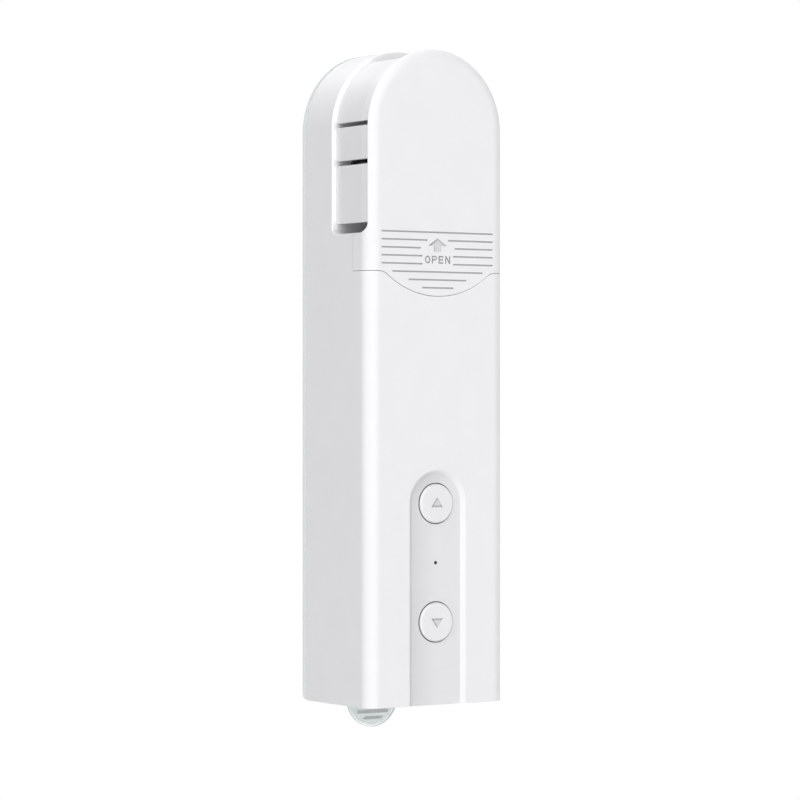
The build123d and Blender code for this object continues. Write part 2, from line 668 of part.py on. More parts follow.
def wall_plate():
    shape = outline(0)
    shape = fillet([corner for corner in shape.vertices() if corner.Y < 0.01], PLATE_CORNER_R)
    plate = slab(shape, PLATE_FRONT, PLATE_BACK)
    for depth in (PLATE_FRONT, PLATE_BACK):
        plate = round_rim(plate, depth, BACK_EDGE_R)
    slot_half = TONGUE_HALF_WIDTH + TONGUE_GAP
    plate -= block(-slot_half, slot_half, PLATE_FRONT, PLATE_BACK, -1, TONGUE_TOP_Z + TONGUE_GAP / 2)
    for z in (WALL_SCREW_LOW_Z, WALL_SCREW_LOW_Z + WALL_SCREW_SPACING):
        plate -= rod(0, z, WALL_SCREW_R, PLATE_FRONT, PLATE_BACK)
        plate -= frustum(0, z, PLATE_FRONT, WALL_SCREW_HEAD_R, PLATE_BACK - WALL_SCREW_LAND, WALL_SCREW_R)
    for z in HOOK_HEIGHTS:
        lip_back = REAR_COVER_FRONT - HOOK_CLEARANCE
        left = HOOK_X - HOOK_WIDTH / 2
        right = HOOK_X + HOOK_WIDTH / 2
        stem = block(left, right, lip_back - HOOK_T, PLATE_FRONT, z, z + HOOK_STEM)
        lip = block(left, right, lip_back - HOOK_T, lip_back, z, z + HOOK_STEM + HOOK_LIP)
        plate += both_sides(stem + lip)
    return plate


def adhesive_pads():
    """Foam pads on the back of the wall plate."""
    group = []
    for low, high in PAD_SPANS:
        shape = RectangleRounded(2 * (HALF - PAD_INSET), high - low, PAD_CORNER_R)
        group.append(slab(Pos(0, (low + high) / 2) * shape, PLATE_BACK, WALL_FACE))
    return group


def release_latch():
    """Springy tongue with a half-round tab below the housing, and its tooth."""
    front = PLATE_FRONT + TAB_RECESS
    back = front + TAB_T
    shape = area(-TONGUE_HALF_WIDTH, TONGUE_HALF_WIDTH, -TAB_R / 2, TONGUE_TOP_Z)
    half_disc = Pos(0, -TAB_DROP) * Circle(TAB_R) & area(-TAB_R, TAB_R, -2 * TAB_R, -TAB_DROP)
    latch = slab(shape + half_disc, front, back)
    tooth_high = TOOTH_LOW_Z + TOOTH_HEIGHT
    tooth_front = PLATE_FRONT - TOOTH_REACH
    latch += block(-TOOTH_HALF_WIDTH, TOOTH_HALF_WIDTH, tooth_front, front, TOOTH_LOW_Z, tooth_high)
    for half, drop in TAB_RIDGES:
        low = -drop - TAB_RIDGE_HEIGHT / 2
        high = -drop + TAB_RIDGE_HEIGHT / 2
        crest = front - TAB_RIDGE_REACH
        points = [(front, low), (crest, low), (crest, low + TAB_RIDGE_CREST), (front, high)]
        latch += across(make_face(Polyline(*points, close=True)), -half, half)
    return latch


def button(z, way):
    """Round cap with a rounded rim, a flange behind the shell and a triangle that points up or down."""
    flange_front = CHANNEL_BACK + BUTTON_PLAY
    cap = rod(0, z, BUTTON_R, BUTTON_SET_BACK, flange_front)
    rim = [e for e in cap.edges() if abs(e.center().Y - y_at(BUTTON_SET_BACK)) < 0.01]
    cap = fillet(rim, BUTTON_EDGE_R)
    cap += rod(0, z, BUTTON_R + BUTTON_FLANGE, flange_front, flange_front + BUTTON_FLANGE_T)
    cap += rod(0, z, BUTTON_STEM_R, flange_front + BUTTON_FLANGE_T, PLUNGER_FRONT)
    points = [(0, z + way * TRIANGLE_TIP), (TRIANGLE_HALF, z - way * TRIANGLE_BASE)]
    points.append((-TRIANGLE_HALF, z - way * TRIANGLE_BASE))
    triangle = make_face(Polyline(*points, close=True))
    return cap - slab(triangle, BUTTON_SET_BACK, BUTTON_SET_BACK + ENGRAVING)


def switch_plunger(z):
    return rod(0, z, PLUNGER_R, PLUNGER_FRONT, BOARD_FRONT - SWITCH_T + PLUNGER_INSIDE)


def switch_bodies():
    """Two square switches on the board, each with a well for its plunger."""
    group = []
    front = BOARD_FRONT - SWITCH_T
    for z in (UP_BUTTON_Z, DOWN_BUTTON_Z):
        half = SWITCH_SIDE / 2
        body = block(-half, half, front, BOARD_FRONT, z - half, z + half)
        well = PLUNGER_INSIDE + BUTTON_TRAVEL + SCREW_CLEARANCE
        group.append(body - rod(0, z, PLUNGER_R + SCREW_CLEARANCE, front, front + well))
    return group


def light_pipe():
    nose = rod(0, LIGHT_Z, LIGHT_HOLE_R - BUTTON_PLAY, CHANNEL_DEPTH + LIGHT_PIPE_SET_BACK, CHANNEL_BACK)
    return nose + rod(0, LIGHT_Z, LIGHT_PIPE_R, CHANNEL_BACK, BOARD_FRONT - LIGHT_T - BUTTON_PLAY)


def status_light():
    half = LIGHT_SIDE / 2
    return block(-half, half, BOARD_FRONT - LIGHT_T, BOARD_FRONT, LIGHT_Z - half, LIGHT_Z + half)


def main_board():
    board = block(-BOARD_HALF, BOARD_HALF, BOARD_FRONT, BOARD_BACK, BOARD_LOW, BOARD_TOP)
    for x, z in BOARD_POSTS:
        board -= both_sides(rod(x, z, SCREW_R + SCREW_CLEARANCE, BOARD_FRONT, BOARD_BACK))
    return board


def board_screws():
    group = []
    for x, z in BOARD_POSTS:
        for side in (-x, x):
            group.append(screw(side, z, BOARD_BACK, -SHORT_SCREW))
    return group


def on_board(left, right, thickness, low, high):
    """A flat part on the back of the board."""
    return block(left, right, BOARD_BACK, BOARD_BACK + thickness, low, high)


def radio_module():
    """Radio on the back of the board, with its shield can."""
    return on_board(*RADIO) + on_board(*RADIO_CAN)


def board_chips():
    """Driver, charger and controller chips and the power coil."""
    return [on_board(*chip) for chip in (DRIVER_CHIP, CHARGER_CHIP, CONTROLLER_CHIP, POWER_COIL)]


def motor_connector():
    half, thickness, low, high = MOTOR_PLUG
    return block(-half, half, BOARD_FRONT - thickness, BOARD_FRONT, BOARD_TOP - low, BOARD_TOP - high)


def battery_connector():
    left, right, thickness, low, high = BATTERY_PLUG
    return on_board(left, right, thickness, BOARD_TOP - low, BOARD_TOP - high)


def usb_socket():
    """Charging socket: metal shell with its tongue, mouth in the housing's lower end."""
    socket = extrude(Pos(0, 0, USB_MOUTH_Z) * usb_sketch(0), amount=USB_DEPTH)
    socket -= extrude(Pos(0, 0, USB_MOUTH_Z) * usb_sketch(-USB_SHELL_T), amount=USB_DEPTH - 1.0)
    front = BOARD_BACK + (USB_HEIGHT - USB_TONGUE_T) / 2
    back = front + USB_TONGUE_T
    low = USB_MOUTH_Z + 1.4
    tongue = block(-USB_TONGUE_HALF, USB_TONGUE_HALF, front, back, low, USB_MOUTH_Z + USB_DEPTH)
    return socket + tongue


def battery_cradle():
    """Tray with two troughs, its end walls beyond the cells."""
    half = CELL_X + CELL_R + CELL_PLAY
    front = CELL_DEPTH - CELL_R - CRADLE_WALL
    tray = block(-half, half, front, CELL_DEPTH, CRADLE_LOW, CRADLE_TOP)
    low = CRADLE_LOW + CRADLE_WALL
    notch = LUG_HALF + CELL_PLAY
    link_front = CELL_DEPTH - LINK_HALF - CELL_PLAY
    for x in (-CELL_X, CELL_X):
        tray -= upright(x, CELL_DEPTH, CELL_R + CELL_PLAY, low, CRADLE_TOP - CRADLE_WALL)
        tray -= block(x - notch, x + notch, link_front, CELL_DEPTH, CELL_TOP_Z, CRADLE_TOP)
    return tray - block(-CELL_X, CELL_X, link_front, CELL_DEPTH, low, CELL_LOW_Z)


def cell(x):
    """Round cell with its crimped neck, a raised plus end and the other end flat."""
    shoulder = CELL_TOP_Z - CELL_PLUS_RISE
    neck_low = shoulder - 3 * CELL_NECK
    neck_high = neck_low + CELL_NECK
    body = upright(x, CELL_DEPTH, CELL_R, CELL_LOW_Z, shoulder)
    body -= upright(x, CELL_DEPTH, CELL_R, neck_low, neck_high)
    body += upright(x, CELL_DEPTH, CELL_R - CELL_NECK_DEPTH, neck_low, neck_high)
    return body + upright(x, CELL_DEPTH, CELL_PLUS_R, shoulder, CELL_TOP_Z)


def cell_links():
    """Nickel strips: one joins the cells below, and one lug stands up from each cell."""
    front = CELL_DEPTH - LINK_HALF
    back = CELL_DEPTH + LINK_HALF
    reach = CELL_X + LINK_HALF
    group = [block(-reach, reach, front, back, CELL_LOW_Z - LINK_T, CELL_LOW_Z)]
    for x in (-CELL_X, CELL_X):
        strip = block(x - LUG_HALF, x + LUG_HALF, front, back, CELL_TOP_Z, CELL_TOP_Z + LINK_T)
        lug = block(x - LUG_HALF, x + LUG_HALF, front, front + LINK_T, CELL_TOP_Z, CELL_TOP_Z + LUG_RISE)
        group.append(strip + lug)
    return group


def lead(points, radius):
    """Insulated lead along a bent route of points (across, depth, height)."""
    path = [(x, y_at(depth), z) for x, depth, z in points]
    wire = FilletPolyline(*path, radius=radius)
    start = Plane(origin=wire @ 0, z_dir=wire % 0)
    return sweep(start * Circle(LEAD_R), path=wire)


def motor_leads():
    """Four short leads from the encoder board down to the main board."""
    group = []
    top = MOTOR_Z - ENCODER_BOARD_R + LEAD_OVERLAP
    low = BOARD_TOP - MOTOR_PLUG[3]
    depth = ENCODER_BOARD_BACK + LEAD_R
    middle = (top + low) / 2
    for i in range(4):
        x = (i - 1.5) * LEAD_PITCH
        end_x = LEAD_SPREAD * x
        end_depth = depth + LEAD_STEP
        route = [(x, depth, top), (x, depth, middle + LEAD_STEP_HALF)]
        route += [(end_x, end_depth, middle - LEAD_STEP_HALF), (end_x, end_depth, low)]
        group.append(lead(route, LEAD_LONG_BEND))
    return group


def battery_leads():
    """Two leads from the cells' lugs over the cradle to the board."""
    group = []
    lug_face = CELL_DEPTH - LINK_HALF - LEAD_R
    start = CRADLE_TOP + LEAD_LIFT
    low_rise, high_rise = BATTERY_LEAD_RISES
    left, right, thickness, _, plug_top = BATTERY_PLUG
    depth = BOARD_BACK + thickness / 2
    middle = (left + right) / 2
    step_in = lug_face - BATTERY_LEAD_SET_IN
    for side, rise in ((1, low_rise), (-1, high_rise)):
        x = side * CELL_X
        end = middle + side * BATTERY_LEAD_APART
        level = start + rise
        route = [(x, lug_face, start), (x, lug_face, level), (end, step_in, level)]
        route += [(end, depth, level), (end, depth, BOARD_TOP - plug_top)]
        group.append(lead(route, LEAD_SHORT_BEND))
    return group


def gear(teeth, module, phase):
    """Front view of an involute gear. A tooth is centred at the phase angle, in degrees."""
    pitch = module * teeth / 2
    base = pitch * cos(PRESSURE_ANGLE)
    tip = pitch + ADDENDUM * module
    root = pitch - DEDENDUM * module
    start = max(base, root)
    half_tooth = pi / (2 * teeth) - GEAR_BACKLASH / (2 * pitch)

    def half_angle(radius):
        angle = acos(min(1.0, base / radius))
        return half_tooth + tan(PRESSURE_ANGLE) - PRESSURE_ANGLE - tan(angle) + angle

    def point(radius, angle):
        return (radius * cos(angle), radius * sin(angle))

    edges = []
    middle = (start + tip) / 2
    for i in range(teeth):
        centre = radians(phase) + 2 * pi * i / teeth
        following = centre + 2 * pi / teeth
        foot, waist, crown = half_angle(start), half_angle(middle), half_angle(tip)
        if base > root:
            edges.append(Line(point(root, centre - foot), point(start, centre - foot)))
        rising = [point(start, centre - foot), point(middle, centre - waist), point(tip, centre - crown)]
        falling = [point(tip, centre + crown), point(middle, centre + waist), point(start, centre + foot)]
        edges.append(ThreePointArc(*rising))
        edges.append(ThreePointArc(rising[2], point(tip, centre), falling[0]))
        edges.append(ThreePointArc(*falling))
        if base > root:
            edges.append(Line(point(start, centre + foot), point(root, centre + foot)))
        valley = point(root, centre + pi / teeth)
        edges.append(ThreePointArc(point(root, centre + foot), valley, point(root, following - foot)))
    return make_face(edges)


def upper_phase(teeth):
    """Phase of the upper gear of a pair, whose space meets the lower gear's tooth."""
    return 270.0 + 180.0 / teeth


def motor_pinion():
    pinion = slab(Pos(0, MOTOR_Z) * gear(MOTOR_TEETH, MODULE_1, 90), LAYERS[0], LAYERS[0] + GEAR_T)
    return pinion - rod(0, MOTOR_Z, MOTOR_SHAFT_R, LAYERS[0], LAYERS[0] + GEAR_T)


def compound_gear(z, layer, wheel, pinion, bore_r):
    """Large gear in one layer and its pinion in the next, on one hub."""
    wheel_back = layer + GEAR_T
    body = slab(Pos(0, z) * wheel, layer, wheel_back)
    body += slab(Pos(0, z) * pinion, wheel_back, wheel_back + GEAR_SPACE + GEAR_T)
    return body - rod(0, z, bore_r, layer, wheel_back + GEAR_SPACE + GEAR_T)


def stage_1_gear():
    wheel = gear(STAGE_1_TEETH, MODULE_1, upper_phase(STAGE_1_TEETH))
    pinion = gear(STAGE_1_PINION_TEETH, MODULE_2, 90)
    return compound_gear(STAGE_1_Z, LAYERS[0], wheel, pinion, STAGE_1_PIN_R + RUNNING_FIT)


def stage_2_gear():
    wheel = gear(STAGE_2_TEETH, MODULE_2, upper_phase(STAGE_2_TEETH))
    pinion = gear(STAGE_2_PINION_TEETH, MODULE_3, 90)
    return compound_gear(STAGE_2_Z, LAYERS[1], wheel, pinion, STAGE_2_PIN_R + RUNNING_FIT)


def output_gear():
    teeth = gear(OUTPUT_TEETH, MODULE_3, upper_phase(OUTPUT_TEETH))
    back = LAYERS[2] + GEAR_T
    body = slab(Pos(0, ARCH_Z) * teeth, LAYERS[2], back)
    body += rod(0, ARCH_Z, HUB_R, LAYERS[1], LAYERS[2])
    return body - shaft_form(LAYERS[1], back)


def shaft_form(front, back):
    """Round bar with one flat, the section of the output shaft."""
    flat = area(-FAR, FAR, ARCH_Z - FAR, ARCH_Z + SHAFT_FLAT)
    return slab(Pos(0, ARCH_Z) * Circle(SHAFT_R) & flat, front, back)


def output_shaft():
    """Steel shaft: flats under the chain wheel and output gear, round in its two bushes."""
    front = WHEEL_FRONT + WHEEL_WELL
    shaft = shaft_form(front, BUSH_FRONT)
    shaft += rod(0, ARCH_Z, SHAFT_R, BUSH_FRONT, FRONT_PLATE_BACK)
    shaft += shaft_form(FRONT_PLATE_BACK, REAR_PLATE_FRONT)
    shaft += rod(0, ARCH_Z, SHAFT_R, REAR_PLATE_FRONT, REAR_PLATE_BACK)
    return shaft - rod(0, ARCH_Z, SCREW_R, front, front + LONG_SCREW)


def gear_pins():
    group = []
    for z, radius in ((STAGE_1_Z, STAGE_1_PIN_R), (STAGE_2_Z, STAGE_2_PIN_R)):
        group.append(rod(0, z, radius, FRONT_PLATE_FRONT, REAR_PLATE_BACK))
    return group


def gearbox_plate_area(low):
    """Front view of a gearbox plate, notched round the rear cover's upper posts."""
    shape = outline(WALL + GEARBOX_SIDE_GAP, low)
    for side in (-1, 1):
        shape -= Pos(side * SHELL_SCREWS[2][0], SHELL_SCREWS[2][1]) * Circle(BOSS_R + BOSS_CLEARANCE)
    return shape


def pillar_places():
    x = HIGH_PILLAR_RADIUS * cos(radians(HIGH_PILLAR_ANGLE))
    z = ARCH_Z + HIGH_PILLAR_RADIUS * sin(radians(HIGH_PILLAR_ANGLE))
    low_x = INNER_HALF - LOW_PILLAR_INSET
    low_z = MOTOR_Z + LOW_PILLAR_RISE
    return ((low_x, low_z), (-low_x, low_z), (x, z), (-x, z))


def gearbox_front_plate():
    boss_back = FRONT_PLATE_BACK + GUIDE_BOSS_T
    plate = slab(gearbox_plate_area(CRADLE_TOP + GEARBOX_RISE), FRONT_PLATE_FRONT, FRONT_PLATE_BACK)
    plate += both_sides(rod(GUIDE_FOOT_X, GUIDE_FOOT_Z, 2 * SCREW_R, FRONT_PLATE_BACK, boss_back))
    plate -= both_sides(rod(GUIDE_FOOT_X, GUIDE_FOOT_Z, SCREW_R, FRONT_PLATE_FRONT, boss_back))
    for x, z in ((EAR_X, EAR_Z), (MOTOR_SCREW_X, MOTOR_Z)):
        plate -= both_sides(rod(x, z, SCREW_R + SCREW_CLEARANCE, FRONT_PLATE_FRONT, FRONT_PLATE_BACK))
    for x, z in pillar_places():
        plate += rod(x, z, PILLAR_R, FRONT_PLATE_BACK, REAR_PLATE_FRONT)
        plate -= rod(x, z, SCREW_R, REAR_PLATE_BACK - LONG_SCREW, REAR_PLATE_FRONT)
    plate -= rod(0, ARCH_Z, BUSH_R, FRONT_PLATE_FRONT, FRONT_PLATE_BACK)
    plate -= rod(0, MOTOR_Z, MOTOR_SHAFT_R + MOTOR_BUSH_T, FRONT_PLATE_FRONT, FRONT_PLATE_BACK)
    plate -= rod(0, STAGE_1_Z, STAGE_1_PIN_R, FRONT_PLATE_FRONT, FRONT_PLATE_BACK)
    return plate - rod(0, STAGE_2_Z, STAGE_2_PIN_R, FRONT_PLATE_FRONT, FRONT_PLATE_BACK)


def gearbox_rear_plate():
    plate = slab(gearbox_plate_area(MOTOR_Z + REAR_PLATE_RISE), REAR_PLATE_FRONT, REAR_PLATE_BACK)
    plate -= rod(0, ARCH_Z, BUSH_R, REAR_PLATE_FRONT, REAR_PLATE_BACK)
    plate -= rod(0, STAGE_1_Z, STAGE_1_PIN_R, REAR_PLATE_FRONT, REAR_PLATE_BACK)
    plate -= rod(0, STAGE_2_Z, STAGE_2_PIN_R, REAR_PLATE_FRONT, REAR_PLATE_BACK)
    for x, z in pillar_places():
        plate -= rod(x, z, SCREW_R, REAR_PLATE_FRONT, REAR_PLATE_BACK)
        plate -= frustum(x, z, REAR_PLATE_BACK - SCREW_HEAD_T, SCREW_R, REAR_PLATE_BACK, PILLAR_R)
    return plate


def gearbox_screws():
    group = []
    for x, z in pillar_places():
        group.append(screw(x, z, REAR_PLATE_BACK, -LONG_SCREW, PILLAR_R, sunk=True))
    return group


def gearbox_mount_screws():
    """Two screws through the front plate's ears into the shell."""
    group = []
    for side in (-1, 1):
        group.append(screw(side * EAR_X, EAR_Z, FRONT_PLATE_BACK, -LONG_SCREW))
    return group


def motor_screws():
    group = []
    for side in (-1, 1):
        reach = GEARBOX_PLATE_T + MOTOR_FACE_T
        group.append(screw(side * MOTOR_SCREW_X, MOTOR_Z, FRONT_PLATE_BACK, -reach))
    return group


def output_bushes():
    """Bronze bushes: a flanged one in the bulkhead and front plate, a plain one in the rear plate."""
    front = rod(0, ARCH_Z, BUSH_FLANGE_R, BUSH_FRONT, RECESS_DEPTH)
    front += rod(0, ARCH_Z, BUSH_R, RECESS_DEPTH, FRONT_PLATE_BACK)
    front -= rod(0, ARCH_Z, SHAFT_R + RUNNING_FIT, BUSH_FRONT, FRONT_PLATE_BACK)
    rear = rod(0, ARCH_Z, BUSH_R, REAR_PLATE_FRONT, REAR_PLATE_BACK)
    rear -= rod(0, ARCH_Z, SHAFT_R + RUNNING_FIT, REAR_PLATE_FRONT, REAR_PLATE_BACK)
    return [front, rear]


def chain_wheel():
    """Wheel with round pockets for the beads, a groove for the cord between them and two flanges."""
    wheel = rod(0, ARCH_Z, WHEEL_R, WHEEL_FRONT, WHEEL_BACK)
    for low in (WHEEL_FRONT, WHEEL_BACK - FLANGE_T):
        flange = rod(0, ARCH_Z, WHEEL_R + FLANGE_RISE, low, low + FLANGE_T)
        wheel += fillet(flange.edges(), FLANGE_EDGE_R)
    hub_back = BUSH_FRONT - END_PLAY
    wheel += rod(0, ARCH_Z, HUB_R, WHEEL_BACK, hub_back)
    ring = Circle(WHEEL_R + 1) - Circle(PITCH_R - CORD_GROOVE)
    wheel -= slab(Pos(0, ARCH_Z) * ring, WHEEL_MIDDLE - CORD_GROOVE, WHEEL_MIDDLE + CORD_GROOVE)
    pocket_r = BEAD_R + POCKET_CLEARANCE
    for i in range(POCKETS):
        angle = 2 * pi * i / POCKETS
        way = (cos(angle), 0, sin(angle))
        centre = (PITCH_R * way[0], y_at(WHEEL_MIDDLE), ARCH_Z + PITCH_R * way[2])
        wheel -= Pos(*centre) * Sphere(pocket_r)
        wheel -= extrude(Plane(origin=centre, z_dir=way) * Circle(pocket_r), amount=2 * WHEEL_RISE)
    wheel -= shaft_form(WHEEL_FRONT + WHEEL_WELL, hub_back)
    return wheel - rod(0, ARCH_Z, SHAFT_R, WHEEL_FRONT, WHEEL_FRONT + WHEEL_WELL)


def wheel_screw():
    return screw(0, ARCH_Z, WHEEL_FRONT + WHEEL_WELL, LONG_SCREW)


def guide_area(radius):
    return Pos(0, ARCH_Z) * Circle(radius) + area(-radius, radius, ARCH_Z, ARCH_Z + GUIDE_RISE)


def chain_guide():
    """Trough round the lower half of the wheel, with two screwed feet on the bulkhead."""
    outer = guide_area(GUIDE_R + GUIDE_WALL)
    guide = slab(outer - guide_area(GUIDE_R), WHEEL_FRONT - GUIDE_FRONT, RECESS_DEPTH)
    x, z = GUIDE_FOOT_X, GUIDE_FOOT_Z
    foot = area(-x, x, z - GUIDE_FOOT_R, z + GUIDE_FOOT_R)
    foot += Pos(-x, z) * Circle(GUIDE_FOOT_R) + Pos(x, z) * Circle(GUIDE_FOOT_R)
    seat = RECESS_DEPTH - GUIDE_WALL
    guide += slab(outer + foot, seat, RECESS_DEPTH)
    guide -= rod(0, ARCH_Z, BUSH_FLANGE_R + SCREW_CLEARANCE, seat, RECESS_DEPTH)
    return guide - both_sides(rod(x, z, SCREW_R + SCREW_CLEARANCE, seat, RECESS_DEPTH))


def guide_screws():
    """Two screws that clamp the guide, the bulkhead and the gearbox together."""
    seat = RECESS_DEPTH - GUIDE_WALL
    reach = FRONT_PLATE_BACK + GUIDE_BOSS_T - seat
    group = []
    for side in (-1, 1):
        group.append(screw(side * GUIDE_FOOT_X, GUIDE_FOOT_Z, seat, reach))
    return group


def motor_can():
    """Drawn steel cup, its closed end on the gearbox."""
    can = rod(0, MOTOR_Z, MOTOR_R, MOTOR_FRONT, FRONT_PLATE_FRONT)
    can -= rod(0, MOTOR_Z, MOTOR_R - MOTOR_CAN_T, MOTOR_FRONT, MOTOR_FACE_FRONT)
    can -= rod(0, MOTOR_Z, MOTOR_SHAFT_R + MOTOR_BUSH_T, MOTOR_FACE_FRONT, FRONT_PLATE_FRONT)
    return can - both_sides(rod(MOTOR_SCREW_X, MOTOR_Z, SCREW_R, MOTOR_FACE_FRONT, FRONT_PLATE_FRONT))


def motor_magnets():
    """Two curved magnets inside the can."""
    outer = MOTOR_R - MOTOR_CAN_T
    ring = Circle(outer) - Circle(outer - MAGNET_T)
    front = MOTOR_FRONT + END_CAP_PLUG
    half = slab(Pos(0, MOTOR_Z) * (ring & area(MAGNET_FLAT, FAR, -FAR, FAR)), front, MOTOR_FACE_FRONT)
    return [half, mirror(half, about=Plane.YZ)]


def motor_bush():
    front = MOTOR_FACE_FRONT - MOTOR_BUSH_REACH
    bush = rod(0, MOTOR_Z, MOTOR_SHAFT_R + MOTOR_BUSH_T, front, FRONT_PLATE_BACK)
    return bush - rod(0, MOTOR_Z, MOTOR_SHAFT_R + RUNNING_FIT, front, FRONT_PLATE_BACK)


def motor_rotor():
    """Wound armature with its commutator on the motor shaft."""
    radius = MOTOR_R - MOTOR_CAN_T - MAGNET_T - ROTOR_GAP
    back = MOTOR_FACE_FRONT - MOTOR_BUSH_REACH - ROTOR_END_GAP
    plug_back = MOTOR_FRONT + END_CAP_PLUG
    front = plug_back + COMMUTATOR_LENGTH
    core = rod(0, MOTOR_Z, radius, front, back)
    for i in range(3):
        slot = SlotOverall(2 * (radius - COMMUTATOR_R - 1), ROTOR_SLOT)
        slot = Rot(0, 0, 90 + 120 * i) * Pos(radius, 0) * slot
        core -= slab(Pos(0, MOTOR_Z) * slot, front, back)
    core += rod(0, MOTOR_Z, COMMUTATOR_R, plug_back + END_PLAY, front)
    return core + rod(0, MOTOR_Z, MOTOR_SHAFT_R, MAGNET_FRONT, LAYERS[0] + GEAR_T)


def motor_end_cap():
    """Moulded end cap with the rear bearing and two posts for the encoder board."""
    plug_back = MOTOR_FRONT + END_CAP_PLUG
    cap = rod(0, MOTOR_Z, MOTOR_R, END_CAP_FRONT, MOTOR_FRONT)
    cap += rod(0, MOTOR_Z, MOTOR_R - MOTOR_CAN_T, MOTOR_FRONT, plug_back)
    across_by, rise, radius = END_CAP_POST
    cap += both_sides(rod(across_by, MOTOR_Z + rise, radius, ENCODER_BOARD_BACK, END_CAP_FRONT))
    return cap - rod(0, MOTOR_Z, MOTOR_SHAFT_R + RUNNING_FIT, END_CAP_FRONT, plug_back)


def motor_brushes():
    """Two carbon brushes beside the commutator, on the end cap."""
    front = MOTOR_FRONT + END_CAP_PLUG
    low = COMMUTATOR_R + BUTTON_PLAY
    brush = block(low, BRUSH_REACH, front, front + BRUSH_T, MOTOR_Z - BRUSH_HALF, MOTOR_Z + BRUSH_HALF)
    return [brush, mirror(brush, about=Plane.YZ)]


def encoder_magnet():
    magnet = rod(0, MOTOR_Z, ENCODER_MAGNET_R, MAGNET_FRONT, MAGNET_FRONT + ENCODER_MAGNET_T)
    return magnet - rod(0, MOTOR_Z, MOTOR_SHAFT_R, MAGNET_FRONT, MAGNET_FRONT + ENCODER_MAGNET_T)


def encoder_board():
    return rod(0, MOTOR_Z, ENCODER_BOARD_R, ENCODER_BOARD_FRONT, ENCODER_BOARD_BACK)


def hall_sensor():
    width, thickness, half = SENSOR_SIZE
    left = ENCODER_MAGNET_R + 2 * ENCODER_GAP
    back = ENCODER_BOARD_BACK + thickness
    return block(left, left + width, ENCODER_BOARD_BACK, back, MOTOR_Z - half, MOTOR_Z + half)


NODES = {
    "main_shell": main_shell,
    "rear_cover": rear_cover,
    "shell_screws": shell_screws,
    "top_cover": top_cover,
    "wall_plate": wall_plate,
    "adhesive_pads": adhesive_pads,
    "release_latch": release_latch,
    "up_button": lambda: button(UP_BUTTON_Z, 1),
    "down_button": lambda: button(DOWN_BUTTON_Z, -1),
    "up_switch_plunger": lambda: switch_plunger(UP_BUTTON_Z),
    "down_switch_plunger": lambda: switch_plunger(DOWN_BUTTON_Z),
    "switch_bodies": switch_bodies,
    "light_pipe": light_pipe,
    "status_light": status_light,
    "main_board": main_board,
    "board_screws": board_screws,
    "radio_module": radio_module,
    "board_chips": board_chips,
    "motor_connector": motor_connector,
    "battery_connector": battery_connector,
    "usb_socket": usb_socket,
    "battery_cradle": battery_cradle,
    "battery_cell_left": lambda: cell(-CELL_X),
    "battery_cell_right": lambda: cell(CELL_X),
    "cell_links": cell_links,
    "battery_leads": battery_leads,
    "motor_leads": motor_leads,
    "gearbox_front_plate": gearbox_front_plate,
    "gearbox_rear_plate": gearbox_rear_plate,
    "gearbox_screws": gearbox_screws,
    "gearbox_mount_screws": gearbox_mount_screws,
    "gear_pins": gear_pins,
    "motor_pinion": motor_pinion,
    "stage_1_gear": stage_1_gear,
    "stage_2_gear": stage_2_gear,
    "output_gear": output_gear,
    "output_shaft": output_shaft,
    "output_bushes": output_bushes,
    "chain_wheel": chain_wheel,
    "wheel_screw": wheel_screw,
    "chain_guide": chain_guide,
    "guide_screws": guide_screws,
    "motor_can": motor_can,
    "motor_magnets": motor_magnets,
    "motor_bush": motor_bush,
    "motor_rotor": motor_rotor,
    "motor_end_cap": motor_end_cap,
    "motor_brushes": motor_brushes,
    "motor_screws": motor_screws,
    "encoder_magnet": encoder_magnet,
    "encoder_board": encoder_board,
    "hall_sensor": hall_sensor,
}


def write(name, made):
    """Moves a piece so that the origin lies between the wall screws, and writes it."""
    pieces = made if isinstance(made, list) else [made]
    solids = [solid for piece in pieces for solid in piece.solids()]
    moved = [Pos(0, 0, -ORIGIN_Z) * solid for solid in solids]
    shape = moved[0] if len(moved) == 1 else Compound(children=moved)
    export_step(shape, f"parts/{name}.step")


os.makedirs("parts", exist_ok=True)
for name, make in NODES.items():
    write(name, make())
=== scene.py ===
import math

import bmesh
import bpy
from mathutils import Matrix, Vector


